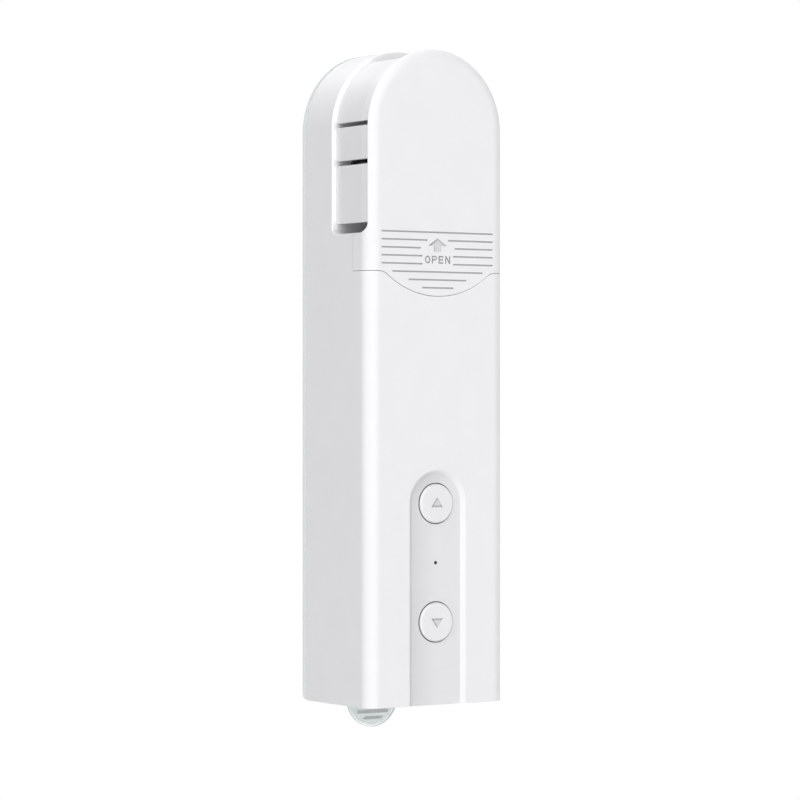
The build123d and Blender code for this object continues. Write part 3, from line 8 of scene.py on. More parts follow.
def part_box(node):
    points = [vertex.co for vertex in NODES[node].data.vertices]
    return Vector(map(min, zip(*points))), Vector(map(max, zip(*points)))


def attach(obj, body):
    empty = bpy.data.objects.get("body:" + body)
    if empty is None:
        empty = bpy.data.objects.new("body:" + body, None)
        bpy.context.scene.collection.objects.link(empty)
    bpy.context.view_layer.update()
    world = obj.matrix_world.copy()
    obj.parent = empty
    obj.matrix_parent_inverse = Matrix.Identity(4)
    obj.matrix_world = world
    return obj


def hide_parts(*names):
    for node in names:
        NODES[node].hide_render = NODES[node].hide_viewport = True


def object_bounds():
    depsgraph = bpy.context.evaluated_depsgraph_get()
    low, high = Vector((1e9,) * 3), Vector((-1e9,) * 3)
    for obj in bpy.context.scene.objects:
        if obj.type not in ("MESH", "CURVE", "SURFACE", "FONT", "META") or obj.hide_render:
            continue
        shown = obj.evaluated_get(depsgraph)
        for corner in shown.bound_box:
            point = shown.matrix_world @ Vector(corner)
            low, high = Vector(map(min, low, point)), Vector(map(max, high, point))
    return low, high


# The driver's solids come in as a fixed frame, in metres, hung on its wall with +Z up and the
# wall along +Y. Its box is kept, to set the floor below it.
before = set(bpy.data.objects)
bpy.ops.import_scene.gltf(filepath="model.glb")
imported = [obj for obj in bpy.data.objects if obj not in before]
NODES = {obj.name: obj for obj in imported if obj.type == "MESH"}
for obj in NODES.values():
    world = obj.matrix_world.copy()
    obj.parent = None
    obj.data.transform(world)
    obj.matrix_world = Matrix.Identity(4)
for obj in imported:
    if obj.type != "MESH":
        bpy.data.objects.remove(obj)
MM = 0.001
frame_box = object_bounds()


# The studio: a long lens on the driver's left front, a little under its middle, the way a
# product shot is taken. A white sky shows behind it and a pale round floor lies well below.
LENS_MM = 145.0
SENSOR_MM = 36.0
CAMERA_TURN = math.radians(33.52)
CAMERA_PLACE = Vector((-480.1, -740.15, -7.64)) * MM
HORIZON_SHIFT = -0.0024
SKY_SEEN = 1.0
SKY_LIGHT = 0.05
SKY_GLOSS = 0.05
FLOOR_BELOW = 0.45
FLOOR_RADIUS = 1.6
FLOOR_SIDES = 128
FLOOR_GREY = (0.6, 0.6, 0.6)
FLOOR_ROUGHNESS = 0.8

camera_data = bpy.data.cameras.new("studio_camera")
camera_data.lens = LENS_MM
camera_data.sensor_width = SENSOR_MM
camera_data.shift_y = HORIZON_SHIFT
camera = bpy.data.objects.new("studio_camera", camera_data)
camera.location = CAMERA_PLACE
camera.rotation_euler = (math.pi / 2, 0.0, -CAMERA_TURN)
bpy.context.scene.collection.objects.link(camera)
bpy.context.scene.camera = camera
bpy.context.scene.view_settings.view_transform = "Standard"


def studio_sun(name, strength, softness, azimuth, elevation, mirrored=True):
    """A far soft light. Azimuth 0 shines on the front, and is positive from the driver's right."""
    lamp = bpy.data.lights.new(name, "SUN")
    lamp.energy = strength
    lamp.angle = math.radians(softness)
    sun = bpy.data.objects.new(name, lamp)
    turn = Matrix.Rotation(math.radians(azimuth), 4, "Z")
    lift = Matrix.Rotation(math.radians(90.0 - elevation), 4, "X")
    sun.matrix_world = turn @ lift
    sun.visible_glossy = mirrored
    bpy.context.scene.collection.objects.link(sun)


studio_sun("key_light", 2.91, 110.0, -45.0, 10.0)
studio_sun("front_light", 0.70, 60.0, 15.0, -8.0)
studio_sun("top_light", 0.85, 60.0, -30.0, 75.0)
studio_sun("back_light", 2.95, 50.0, 165.0, 50.0, mirrored=False)
studio_sun("rim_light", 1.50, 60.0, 100.0, 5.0, mirrored=False)


def feed(tree, socket, given):
    """Links another node's output to a socket, or sets the socket to a number or a colour."""
    if isinstance(given, bpy.types.NodeSocket):
        tree.links.new(given, socket)
    else:
        socket.default_value = given


def reckoned(tree, operation, first, second):
    """The outcome of a sum on two numbers, each given as it is or worked out by another node."""
    step = tree.nodes.new("ShaderNodeMath")
    step.operation = operation
    feed(tree, step.inputs[0], first)
    feed(tree, step.inputs[1], second)
    return step.outputs[0]


def ranged(tree, value, low, high, at_low=0.0, at_high=1.0, clamp=True):
    """A worked-out value, drawn from one span of numbers on to another."""
    span = tree.nodes.new("ShaderNodeMapRange")
    span.clamp = clamp
    span.inputs["From Min"].default_value = low
    span.inputs["From Max"].default_value = high
    span.inputs["To Min"].default_value = at_low
    span.inputs["To Max"].default_value = at_high
    tree.links.new(value, span.inputs["Value"])
    return span.outputs["Result"]


def opaque(colour, factor=1.0):
    """A colour with full alpha, made lighter or darker by a factor."""
    return (*[min(1.0, part * factor) for part in colour], 1.0)


def new_finish(name):
    """A plain finish, the tree of its nodes, and its shader."""
    finish = bpy.data.materials.new(name)
    finish.use_nodes = True
    return finish, finish.node_tree, finish.node_tree.nodes["Principled BSDF"]


# Seen directly or through clear plastic the sky is white, and as a light it is faint.
sky = bpy.data.worlds.new("studio_sky")
sky.use_nodes = True
ray = sky.node_tree.nodes.new("ShaderNodeLightPath").outputs
through = reckoned(sky.node_tree, "MAXIMUM", ray["Is Camera Ray"], ray["Is Transmission Ray"])
in_gloss = reckoned(sky.node_tree, "MULTIPLY", ray["Is Glossy Ray"], SKY_GLOSS)
either = reckoned(sky.node_tree, "MAXIMUM", through, in_gloss)
background = sky.node_tree.nodes["Background"]
sky_strength = ranged(sky.node_tree, either, 0.0, 1.0, SKY_LIGHT, SKY_SEEN)
feed(sky.node_tree, background.inputs["Strength"], sky_strength)
background.inputs["Color"].default_value = (1.0, 1.0, 1.0, 1.0)
bpy.context.scene.world = sky

floor_z = frame_box[0].z - FLOOR_BELOW
floor_shape = bmesh.new()
bmesh.ops.create_circle(floor_shape, cap_ends=True, segments=FLOOR_SIDES, radius=FLOOR_RADIUS)
bmesh.ops.translate(floor_shape, verts=floor_shape.verts, vec=(0, 0, floor_z))
floor_mesh = bpy.data.meshes.new("studio_floor")
floor_shape.to_mesh(floor_mesh)
floor_shape.free()
floor_paint, _, floor_shader = new_finish("floor_paint")
floor_shader.inputs["Base Color"].default_value = opaque(FLOOR_GREY)
floor_shader.inputs["Roughness"].default_value = FLOOR_ROUGHNESS
floor_mesh.materials.append(floor_paint)
studio_floor = bpy.data.objects.new("studio_floor", floor_mesh)
bpy.context.scene.collection.objects.link(studio_floor)


# Main shell: front, sides and arch in one white moulding, with the button channel and the
# recess for the top cover. Moulded in a fine satin plastic, so its cut edges get a small radius
# and its faces a grain too fine to see from a step away. The channel floor is a touch darker,
# painted shade falls along its left side, its top end and the button wells, and a painted
# highlight runs round the recess's lip.
SHELL_WHITE = (0.80, 0.80, 0.815)
SATIN = 0.42
SHELL_GRAIN = 0.10
SHELL_EDGE = 0.10 * MM
EDGE_STEPS = 3
FLAT_WEIGHT = 90
SHARP_ANGLE = math.radians(25.0)
FLAT_ANGLE = math.radians(0.4)
WELD = 0.0005 * MM
GRAIN_SIZE = 0.22 * MM
GRAIN_DEPTH = 0.02 * MM
GRAIN_DETAIL = 2.0
CLOUD_SIZE = 9.0 * MM
CLOUD_DETAIL = 3.0
CLOUD_CONTRAST = 0.02
ROUGHNESS_DRIFT = 0.03
CHANNEL_HALF = 8.4 * MM
CHANNEL_FLOOR = (0.85 * MM, 1.1 * MM)
CHANNEL_END = 3.0 * MM
CHANNEL_SHADE = 0.92
CHANNEL_SHADOW_HALF = 10.0 * MM
CHANNEL_SHADOW_FRONT = 0.3 * MM
CHANNEL_SHADOW_TOP_SHARE = 0.8
CHANNEL_SHADOW_SHADE = 0.86
WELL_HALF = 6.3 * MM
WELL_WALL = (1.02 * MM, 2.8 * MM)
WELL_MARGIN = 0.1 * MM
WELL_SHADE = 0.28
LIP_DEPTH = 17.5 * MM
LIP_MARGIN = 0.05 * MM
LIP_EDGE = 0.3 * MM
LIP_LOW = 36.8 * MM
LIP_BAND = (17.5 * MM, 19.5 * MM)
LIP_HIGHLIGHT = 1.20
WRAP_EDGE = (6.9 * MM, 8.4 * MM)


def on_piece(tree):
    """The place on the piece, as three numbers along X, Y and Z."""
    place = tree.nodes.new("ShaderNodeTexCoord")
    axes = tree.nodes.new("ShaderNodeSeparateXYZ")
    tree.links.new(place.outputs["Object"], axes.inputs[0])
    return axes.outputs


def noise(tree, size, detail, place=None):
    """Soft noise with blots of about one size, over the piece or over a place worked out."""
    if place is None:
        place = tree.nodes.new("ShaderNodeTexCoord").outputs["Object"]
    blots = tree.nodes.new("ShaderNodeTexNoise")
    blots.inputs["Scale"].default_value = 1.0 / size
    blots.inputs["Detail"].default_value = detail
    tree.links.new(place, blots.inputs["Vector"])
    return blots.outputs["Fac"]


def blended(tree, share, first, second, blend="MIX"):
    """Two colours mixed by a share, each given as it is or worked out by another node."""
    mix = tree.nodes.new("ShaderNodeMix")
    mix.data_type = "RGBA"
    mix.blend_type = blend
    feed(tree, mix.inputs["Factor"], share)
    feed(tree, mix.inputs["A"], first)
    feed(tree, mix.inputs["B"], second)
    return mix.outputs["Result"]


def in_relief(tree, shader, height, strength, depth):
    """Raises a surface by a height worked out over it."""
    relief = tree.nodes.new("ShaderNodeBump")
    relief.inputs["Strength"].default_value = strength
    relief.inputs["Distance"].default_value = depth
    tree.links.new(height, relief.inputs["Height"])
    tree.links.new(relief.outputs["Normal"], shader.inputs["Normal"])


def moulded_plastic(name, colour, roughness, grain, contrast=CLOUD_CONTRAST):
    """Satin plastic: a fine grain in the bump, faint clouds in the colour and gloss."""
    finish, tree, shader = new_finish(name)
    clouds = noise(tree, CLOUD_SIZE, CLOUD_DETAIL)
    tone = blended(tree, clouds, opaque(colour, 1.0 - contrast), opaque(colour, 1.0 + contrast))
    low, high = roughness - ROUGHNESS_DRIFT, roughness + ROUGHNESS_DRIFT
    feed(tree, shader.inputs["Base Color"], tone)
    feed(tree, shader.inputs["Roughness"], ranged(tree, clouds, 0.0, 1.0, low, high))
    in_relief(tree, shader, noise(tree, GRAIN_SIZE, GRAIN_DETAIL), grain, GRAIN_DEPTH)
    return finish


def lies_in(place, low, high):
    """Whether a place lies in a box. A side given as None is open."""
    above = all(limit is None or place[axis] >= limit for axis, limit in enumerate(low))
    return above and all(limit is None or place[axis] <= limit for axis, limit in enumerate(high))


def soft_edged(node, radius, finish, body, crisp=()):
    """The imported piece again, with its sharp edges rounded, its flat faces whole and a finish.
    Edges wholly inside one of the crisp boxes keep their corner."""
    shape = bmesh.new()
    shape.from_mesh(NODES[node].data)
    bmesh.ops.remove_doubles(shape, verts=shape.verts, dist=WELD)
    bmesh.ops.dissolve_limit(shape, angle_limit=FLAT_ANGLE, verts=shape.verts, edges=shape.edges)
    sharp = [e for e in shape.edges if e.is_manifold and e.calc_face_angle(0.0) > SHARP_ANGLE]
    for low, high in crisp:
        spared = {e for e in sharp if all(lies_in(vert.co, low, high) for vert in e.verts)}
        sharp = [e for e in sharp if e not in spared]
        for edge in spared:
            edge.smooth = False
    bmesh.ops.bevel(
        shape,
        geom=sharp,
        offset=radius,
        offset_type="OFFSET",
        segments=EDGE_STEPS,
        profile=0.5,
        affect="EDGES",
        material=-1,
        clamp_overlap=False,
    )
    for face in shape.faces:
        face.smooth = True
        face.material_index = 0
    mesh = bpy.data.meshes.new(node + "_moulding")
    shape.to_mesh(mesh)
    shape.free()
    mesh.materials.append(finish)
    piece = bpy.data.objects.new(node + "_moulding", mesh)
    bpy.context.scene.collection.objects.link(piece)
    weighted = piece.modifiers.new("flat_faces", "WEIGHTED_NORMAL")
    weighted.keep_sharp = True
    weighted.weight = FLAT_WEIGHT
    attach(piece, body)
    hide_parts(node)


def shaded_in(finish, low, high, factor, share=1.0):
    """Darkens a finish in a box, or brightens it by a factor over one. A None side is open.
    A share worked out over the surface says how much of it is felt at each place."""
    tree = finish.node_tree
    shader = tree.nodes["Principled BSDF"]
    axes = on_piece(tree)
    felt = share
    for axis in range(3):
        for limit, test in ((low[axis], "GREATER_THAN"), (high[axis], "LESS_THAN")):
            if limit is not None:
                inside = reckoned(tree, test, axes[axis], limit)
                felt = reckoned(tree, "MULTIPLY", felt, inside)
    plain = shader.inputs["Base Color"].links[0].from_socket
    shade = blended(tree, felt, plain, (factor, factor, factor, 1.0), "MULTIPLY")
    feed(tree, shader.inputs["Base Color"], shade)


def channel_shadow_share(tree, centre_z, reach):
    """The share of the painted shadow in a channel: how far a place lies to the left of it, and
    past a height up its round top end.
    """
    axes = on_piece(tree)
    left = ranged(tree, axes["X"], 0.0, -reach, clamp=False)
    up = ranged(tree, axes["Z"], centre_z, centre_z + reach, 0.0, CHANNEL_SHADOW_TOP_SHARE)
    both = reckoned(tree, "ADD", left, up)
    both.node.use_clamp = True
    return both


def outer_band(tree, centre_z, inner, outer):
    """How far a place lies from an inner to an outer distance off the middle of a round top,
    or off the centre line below it."""
    axes = on_piece(tree)
    rise = reckoned(tree, "SUBTRACT", axes["Z"], centre_z)
    flat = tree.nodes.new("ShaderNodeCombineXYZ")
    tree.links.new(axes["X"], flat.inputs["X"])
    tree.links.new(reckoned(tree, "MAXIMUM", rise, 0.0), flat.inputs["Z"])
    reach = tree.nodes.new("ShaderNodeVectorMath")
    reach.operation = "LENGTH"
    tree.links.new(flat.outputs["Vector"], reach.inputs[0])
    return ranged(tree, reach.outputs["Value"], inner, outer)


def middle_height(node):
    """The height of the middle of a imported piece."""
    low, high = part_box(node)
    return (low.z + high.z) / 2


shell_plastic = moulded_plastic("white_satin_plastic", SHELL_WHITE, SATIN, SHELL_GRAIN)
front_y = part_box("main_shell")[0].y
channel_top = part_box("up_button")[1].z + CHANNEL_END
channel_low = (-CHANNEL_HALF, front_y + CHANNEL_FLOOR[0], None)
channel_high = (CHANNEL_HALF, front_y + CHANNEL_FLOOR[1], channel_top)
shaded_in(shell_plastic, channel_low, channel_high, CHANNEL_SHADE)
# Painted shadow: the channel floor darkens towards its left wall and its round top end.
channel_shadow = channel_shadow_share(shell_plastic.node_tree, middle_height("up_button"), CHANNEL_HALF)
channel_shadow_low = (-CHANNEL_SHADOW_HALF, front_y + CHANNEL_SHADOW_FRONT, None)
shaded_in(shell_plastic, channel_shadow_low, channel_high, CHANNEL_SHADOW_SHADE, channel_shadow)
# Painted shade: the walls of the button wells are darkened, down in the gaps round the buttons.
wells_low = (-WELL_HALF, front_y + WELL_WALL[0], None)
wells_high = (WELL_HALF, front_y + WELL_WALL[1], channel_top)
shaded_in(shell_plastic, wells_low, wells_high, WELL_SHADE)
# Painted highlight: a band round the recess's lip, up the sides and over the arch, is lightened.
shell_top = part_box("main_shell")[1]
lip_highlight = outer_band(shell_plastic.node_tree, shell_top.z - shell_top.x, *LIP_BAND)
lip_low = (None, front_y + LIP_DEPTH - LIP_MARGIN, LIP_LOW)
lip_high = (None, front_y + LIP_DEPTH + LIP_EDGE, None)
shaded_in(shell_plastic, lip_low, lip_high, LIP_HIGHLIGHT, lip_highlight)
wells = (-WELL_HALF, wells_low[1] - WELL_MARGIN, None), wells_high
wrap_back = (None, front_y + WRAP_EDGE[0], 0.0), (None, front_y + WRAP_EDGE[1], None)
soft_edged("main_shell", SHELL_EDGE, shell_plastic, "housing", (wells, wrap_back))


# Top cover: front plate, side wraps and the inset skirt with its slots, one moulding in the same
# white, with the grip lines, arrow and word sunk a third of a millimetre. It slides up its rails.
# Painted shade darkens the sunk marks, with painted shadows along some of their edges, and a
# little of it lies on the skirt.
COVER_EDGE = 0.07 * MM
MARK_DEPTHS = (0.08 * MM, 0.45 * MM)
MARKS_HALF = 18.6 * MM
MARKS_LOW = 20.0 * MM
MARKS_HIGH = 37.0 * MM
MARK_SHADE = 0.62
WORD_HALF = 4.4 * MM
WORD_LOW = 27.4 * MM
WORD_SHADE = 0.54
ARROW_HALF = 3.2 * MM
ARROW_LOW = 30.6 * MM
ARROW_HIGH = 35.2 * MM
ARROW_SHADE = 0.83
ARROW_TIP = (0.0, 34.68 * MM)
ARROW_WINGS = ((-2.95 * MM, 32.68 * MM), (2.95 * MM, 32.68 * MM))
ARROW_STEM = 1.2 * MM
EDGE_SHADOW = 0.42 * MM
EDGE_SHADE = 0.48
FAR_EDGE_SHADE = 0.85
SKIRT_FRONT = 5.0 * MM
SKIRT_LOW = 35.0 * MM
SKIRT_SHADE = 0.96


def beside(tree, start, end, width):
    """The share of a painted edge shadow, by how near a place lies to an edge between two points
    in
    X and Z, on its right-hand side: wholly up to half a width off it, and not at all from one and
    a half."""
    run = (Vector(end) - Vector(start)).normalized()
    across = Vector((run.y, 0.0, -run.x))
    edge = across.dot(Vector((start[0], 0.0, start[1])))
    place = tree.nodes.new("ShaderNodeTexCoord")
    away = tree.nodes.new("ShaderNodeVectorMath")
    away.operation = "DOT_PRODUCT"
    away.inputs[1].default_value = across
    tree.links.new(place.outputs["Object"], away.inputs[0])
    return ranged(tree, away.outputs["Value"], edge + 0.5 * width, edge + 1.5 * width, 1.0, 0.0)


def shaded_mark(finish, depths, low, high, shade, edge=None):
    """Paints shade into a sunk mark between two corners in X and Z: all over it, or as a painted
    shadow along one of its edges.
    """
    share = 1.0 if edge is None else beside(finish.node_tree, *edge, EDGE_SHADOW)
    front, back = depths
    shaded_in(finish, (low[0], front, low[1]), (high[0], back, high[1]), shade, share)


cover_plastic = moulded_plastic("white_cover_plastic", SHELL_WHITE, SATIN, SHELL_GRAIN)
mark_depths = front_y + MARK_DEPTHS[0], front_y + MARK_DEPTHS[1]
left_wing, right_wing = ARROW_WINGS
stem_low, stem_high = (-ARROW_STEM, ARROW_LOW), (-ARROW_STEM, left_wing[1])
# Painted shade: each sunk mark is darkened for the shade inside it, the word most and the arrow
# least, with painted shadows along the arrow's edges.
mark_shades = (
    ((-MARKS_HALF, MARKS_LOW), (MARKS_HALF, WORD_LOW), MARK_SHADE),
    ((-MARKS_HALF, WORD_LOW), (-WORD_HALF, ARROW_LOW), MARK_SHADE),
    ((WORD_HALF, WORD_LOW), (MARKS_HALF, ARROW_LOW), MARK_SHADE),
    ((-WORD_HALF, WORD_LOW), (WORD_HALF, ARROW_LOW), WORD_SHADE),
    ((-MARKS_HALF, ARROW_LOW), (-ARROW_HALF, ARROW_HIGH), MARK_SHADE),
    ((ARROW_HALF, ARROW_LOW), (MARKS_HALF, ARROW_HIGH), MARK_SHADE),
    ((-ARROW_HALF, ARROW_LOW), (ARROW_HALF, ARROW_HIGH), ARROW_SHADE),
    ((-MARKS_HALF, ARROW_HIGH), (MARKS_HALF, MARKS_HIGH), MARK_SHADE),
    ((-ARROW_HALF, left_wing[1]), (0.0, ARROW_HIGH), EDGE_SHADE, (left_wing, ARROW_TIP)),
    ((0.0, right_wing[1]), (ARROW_HALF, ARROW_HIGH), FAR_EDGE_SHADE, (ARROW_TIP, right_wing)),
    (stem_low, (0.0, stem_high[1]), EDGE_SHADE, (stem_low, stem_high)),
)
for mark_shade in mark_shades:
    shaded_mark(cover_plastic, mark_depths, *mark_shade)
# Painted shade: the inset skirt, behind the front plate, is darkened a little.
skirt_low = (None, front_y + SKIRT_FRONT, SKIRT_LOW)
shaded_in(cover_plastic, skirt_low, (None, None, None), SKIRT_SHADE)
marks = (-MARKS_HALF, None, MARKS_LOW), (MARKS_HALF, mark_depths[1], MARKS_HIGH)
soft_edged("top_cover", COVER_EDGE, cover_plastic, "cover", (marks, wrap_back))


# Buttons: two turned-looking caps with a soft rim and a sunk triangle, moulded in the shell's
# white a touch greyer. Each stem presses the plunger of a square switch on the board. Painted
# shade darkens each sunk triangle, more along its left and base edges, and the caps' sides in the
# gap.
BUTTON_WHITE = (0.775, 0.775, 0.79)
BUTTON_EDGE = 0.06 * MM
TRIANGLE_ROOM = 2.1 * MM
TRIANGLE_DEPTHS = (0.06 * MM, 0.5 * MM)
TRIANGLE_SHADE = 0.87
TRIANGLE_SIDE = 1.8 * MM
TRIANGLE_TIP = 1.6 * MM
TRIANGLE_BASE = 0.95 * MM
BASE_EDGE_SHADE = 0.66
RIM_DEPTH = 0.62 * MM
RIM_SHADE = 0.35
PLUNGER_RED = (0.45, 0.07, 0.05)
EPOXY_BLACK = (0.035, 0.035, 0.037)


def dress(finish, *names):
    """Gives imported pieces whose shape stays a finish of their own."""
    for name in names:
        for place in NODES[name].material_slots:
            place.material = finish


button_plastic = moulded_plastic("button_plastic", BUTTON_WHITE, roughness=0.40, grain=0.06)
face_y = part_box("up_button")[0].y
triangle_depths = face_y + TRIANGLE_DEPTHS[0], face_y + TRIANGLE_DEPTHS[1]
triangle_low = (-TRIANGLE_ROOM, triangle_depths[0], None)
triangle_high = (TRIANGLE_ROOM, triangle_depths[1], None)
# Painted shade: the sunk triangles are darkened, and painted shadows run along their left and base
# edges.
shaded_in(button_plastic, triangle_low, triangle_high, TRIANGLE_SHADE)
up_z, down_z = middle_height("up_button"), middle_height("down_button")
up_left, up_tip = (-TRIANGLE_SIDE, up_z - TRIANGLE_BASE), (0.0, up_z + TRIANGLE_TIP)
down_left, down_tip = (-TRIANGLE_SIDE, down_z + TRIANGLE_BASE), (0.0, down_z - TRIANGLE_TIP)
up_right, down_right = (TRIANGLE_SIDE, up_left[1]), (TRIANGLE_SIDE, down_left[1])
triangle_edges = (
    (up_z, EDGE_SHADE, (up_left, up_tip)),
    (down_z, EDGE_SHADE, (down_tip, down_left)),
    (up_z, BASE_EDGE_SHADE, (up_right, up_left)),
    (down_z, BASE_EDGE_SHADE, (down_left, down_right)),
)
for centre_z, shade, edge in triangle_edges:
    low = (-TRIANGLE_ROOM, centre_z - TRIANGLE_ROOM)
    high = (TRIANGLE_ROOM, centre_z + TRIANGLE_ROOM)
    shaded_mark(button_plastic, triangle_depths, low, high, shade, edge)
# Painted shade: the caps' sides, deeper than the rim, are darkened down in the gap round each
# button.
shaded_in(button_plastic, (None, face_y + RIM_DEPTH, None), (None, None, None), RIM_SHADE)
triangles = ((-TRIANGLE_ROOM, None, None), triangle_high)
soft_edged("up_button", BUTTON_EDGE, button_plastic, "up_button", (triangles,))
soft_edged("down_button", BUTTON_EDGE, button_plastic, "down_button", (triangles,))
plunger_plastic = moulded_plastic("plunger_plastic", PLUNGER_RED, roughness=0.45, grain=0.05)
dress(plunger_plastic, "up_switch_plunger", "down_switch_plunger")
epoxy = moulded_plastic("black_epoxy", EPOXY_BLACK, roughness=0.5, grain=0.25)
dress(epoxy, "switch_bodies")


# Status light: a small lamp on the board and a smoked guide turned from one rod, whose domed nose
# stands in a one-millimetre hole between the buttons. Unlit, it looks almost black.
LIGHT_NOSE_R = 0.45 * MM
LIGHT_COLLAR_R = 1.5 * MM
LIGHT_DOME = 0.18 * MM
DOME_STEPS = 6
COLLAR_DEPTH = 2.6 * MM
GUIDE_SIDES = 40
GUIDE_WELD = 0.001 * MM
GUIDE_CREASE = math.radians(40.0)
LAMP_YELLOW = (0.80, 0.72, 0.38)
GUIDE_SMOKE = (0.045, 0.045, 0.05)

guide_low, guide_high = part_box("light_pipe")
light_z = middle_height("light_pipe")
collar_front = front_y + COLLAR_DEPTH
guide_shape = bmesh.new()
profile = [(0.0, guide_low.y)]
for step in range(1, DOME_STEPS + 1):
    turn = math.radians(90.0 / DOME_STEPS * step)
    rise = LIGHT_DOME * (1.0 - math.cos(turn))
    profile.append((LIGHT_NOSE_R * math.sin(turn), guide_low.y + rise))
profile += [(LIGHT_NOSE_R, collar_front), (LIGHT_COLLAR_R, collar_front)]
profile += [(LIGHT_COLLAR_R, guide_high.y), (0.0, guide_high.y)]
corners = [guide_shape.verts.new((radius, y, light_z)) for radius, y in profile]
ring = [guide_shape.edges.new(pair) for pair in zip(corners, corners[1:])]
bmesh.ops.spin(
    guide_shape,
    geom=corners + ring,
    cent=(0, 0, light_z),
    axis=(0, 1, 0),
    angle=math.tau,
    steps=GUIDE_SIDES,
    use_merge=True,
)
bmesh.ops.remove_doubles(guide_shape, verts=guide_shape.verts, dist=GUIDE_WELD)
bmesh.ops.recalc_face_normals(guide_shape, faces=guide_shape.faces)
for face in guide_shape.faces:
    face.smooth = True
guide_mesh = bpy.data.meshes.new("light_guide")
guide_shape.to_mesh(guide_mesh)
guide_shape.free()
guide_mesh.set_sharp_from_angle(angle=GUIDE_CREASE)
smoked = moulded_plastic("smoked_guide_plastic", GUIDE_SMOKE, roughness=0.12, grain=0.02)
guide_mesh.materials.append(smoked)
light_guide = bpy.data.objects.new("light_guide", guide_mesh)
bpy.context.scene.collection.objects.link(light_guide)
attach(light_guide, "housing")
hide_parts("light_pipe")
dress(moulded_plastic("lamp_resin", LAMP_YELLOW, roughness=0.25, grain=0.02), "status_light")


# Main board and what is soldered to it: green laminate with tracks under its mask, chips in black
# epoxy, a tinned can over the radio, nylon sockets, and a folded tin shell round the charging
# socket's tongue.
MASK_GREEN = (0.02, 0.13, 0.06)
MASK_ROUGHNESS = 0.32
TRACK_GREEN = (0.05, 0.24, 0.11)
TRACK_PITCH = 0.9 * MM
TRACK_RUN = 7.0 * TRACK_PITCH
TRACK_WIDTH = 0.16 * TRACK_PITCH
TRACK_SOFTNESS = 0.2
TRACK_HEIGHT = 0.03 * MM
TRACK_RELIEF = 0.5
PAD_PITCH = 3.5 * TRACK_PITCH
PAD_SHARE = 0.13
NYLON = (0.78, 0.75, 0.66)
TIN = (0.66, 0.66, 0.64)
TOOL_MARK_DETAIL = 4.0
TOOL_MARK_RELIEF = 0.35
METAL_DRIFT = 0.08
TONGUE_HALF = 3.4 * MM
TONGUE_THICK_HALF = 0.4 * MM
TONGUE_FOOT = 1.2 * MM
TONGUE_SET_IN = 0.4 * MM
TONGUE_SHADE = 0.04


def printed_board(name):
    """Solder mask over copper: stepped tracks, lighter and a touch proud, and small round pads."""
    finish, tree, shader = new_finish(name)
    shader.inputs["Roughness"].default_value = MASK_ROUGHNESS
    place = tree.nodes.new("ShaderNodeTexCoord")
    upright = tree.nodes.new("ShaderNodeMapping")
    upright.inputs["Rotation"].default_value = (math.pi / 2, 0.0, 0.0)
    tree.links.new(place.outputs["Object"], upright.inputs["Vector"])
    tracks = tree.nodes.new("ShaderNodeTexBrick")
    tracks.inputs["Scale"].default_value = 1.0
    tracks.inputs["Brick Width"].default_value = TRACK_RUN
    tracks.inputs["Row Height"].default_value = TRACK_PITCH
    tracks.inputs["Mortar Size"].default_value = TRACK_WIDTH
    tracks.inputs["Mortar Smooth"].default_value = TRACK_SOFTNESS
    tree.links.new(upright.outputs["Vector"], tracks.inputs["Vector"])
    pads = tree.nodes.new("ShaderNodeTexVoronoi")
    pads.inputs["Scale"].default_value = 1.0 / PAD_PITCH
    tree.links.new(upright.outputs["Vector"], pads.inputs["Vector"])
    dot = reckoned(tree, "LESS_THAN", pads.outputs["Distance"], PAD_SHARE)
    copper = reckoned(tree, "MAXIMUM", tracks.outputs["Fac"], dot)
    tone = blended(tree, copper, opaque(MASK_GREEN), opaque(TRACK_GREEN))
    feed(tree, shader.inputs["Base Color"], tone)
    in_relief(tree, shader, copper, TRACK_RELIEF, TRACK_HEIGHT)
    return finish


def worked_metal(name, colour, roughness, marks, contrast=0.06, depth=0.004):
    """Bare metal with tool marks: noise drawn out to the marks' length in millimetres along X, Y
    and Z, and as deep, in millimetres, as is given."""
    finish, tree, shader = new_finish(name)
    shader.inputs["Metallic"].default_value = 1.0
    place = tree.nodes.new("ShaderNodeTexCoord")
    stretch = tree.nodes.new("ShaderNodeMapping")
    stretch.inputs["Scale"].default_value = [1.0 / (mark * MM) for mark in marks]
    tree.links.new(place.outputs["Object"], stretch.inputs["Vector"])
    lines = noise(tree, 1.0, TOOL_MARK_DETAIL, stretch.outputs["Vector"])
    tone = blended(tree, lines, opaque(colour, 1.0 - contrast), opaque(colour, 1.0 + contrast))
    low, high = roughness - METAL_DRIFT, roughness + METAL_DRIFT
    feed(tree, shader.inputs["Base Color"], tone)
    feed(tree, shader.inputs["Roughness"], ranged(tree, lines, 0.0, 1.0, low, high))
    in_relief(tree, shader, lines, TOOL_MARK_RELIEF, depth * MM)
    return finish


board_laminate = printed_board("green_laminate")
dress(board_laminate, "main_board")
dress(epoxy, "board_chips")
tinned = worked_metal("tinned_sheet", TIN, 0.34, marks=(0.15, 2.0, 1.2))
dress(tinned, "radio_module")
socket_shell = worked_metal("socket_shell", TIN, 0.26, marks=(0.3, 0.3, 3.0))
socket_low, socket_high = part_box("usb_socket")
socket_y = (socket_low.y + socket_high.y) / 2
tongue_low = (-TONGUE_HALF, socket_y - TONGUE_THICK_HALF, socket_low.z + TONGUE_FOOT)
tongue_high = (TONGUE_HALF, socket_y + TONGUE_THICK_HALF, socket_high.z - TONGUE_SET_IN)
shaded_in(socket_shell, tongue_low, tongue_high, TONGUE_SHADE)
dress(socket_shell, "usb_socket")
socket_nylon = moulded_plastic("socket_nylon", NYLON, roughness=0.48, grain=0.08)
dress(socket_nylon, "motor_connector", "battery_connector")


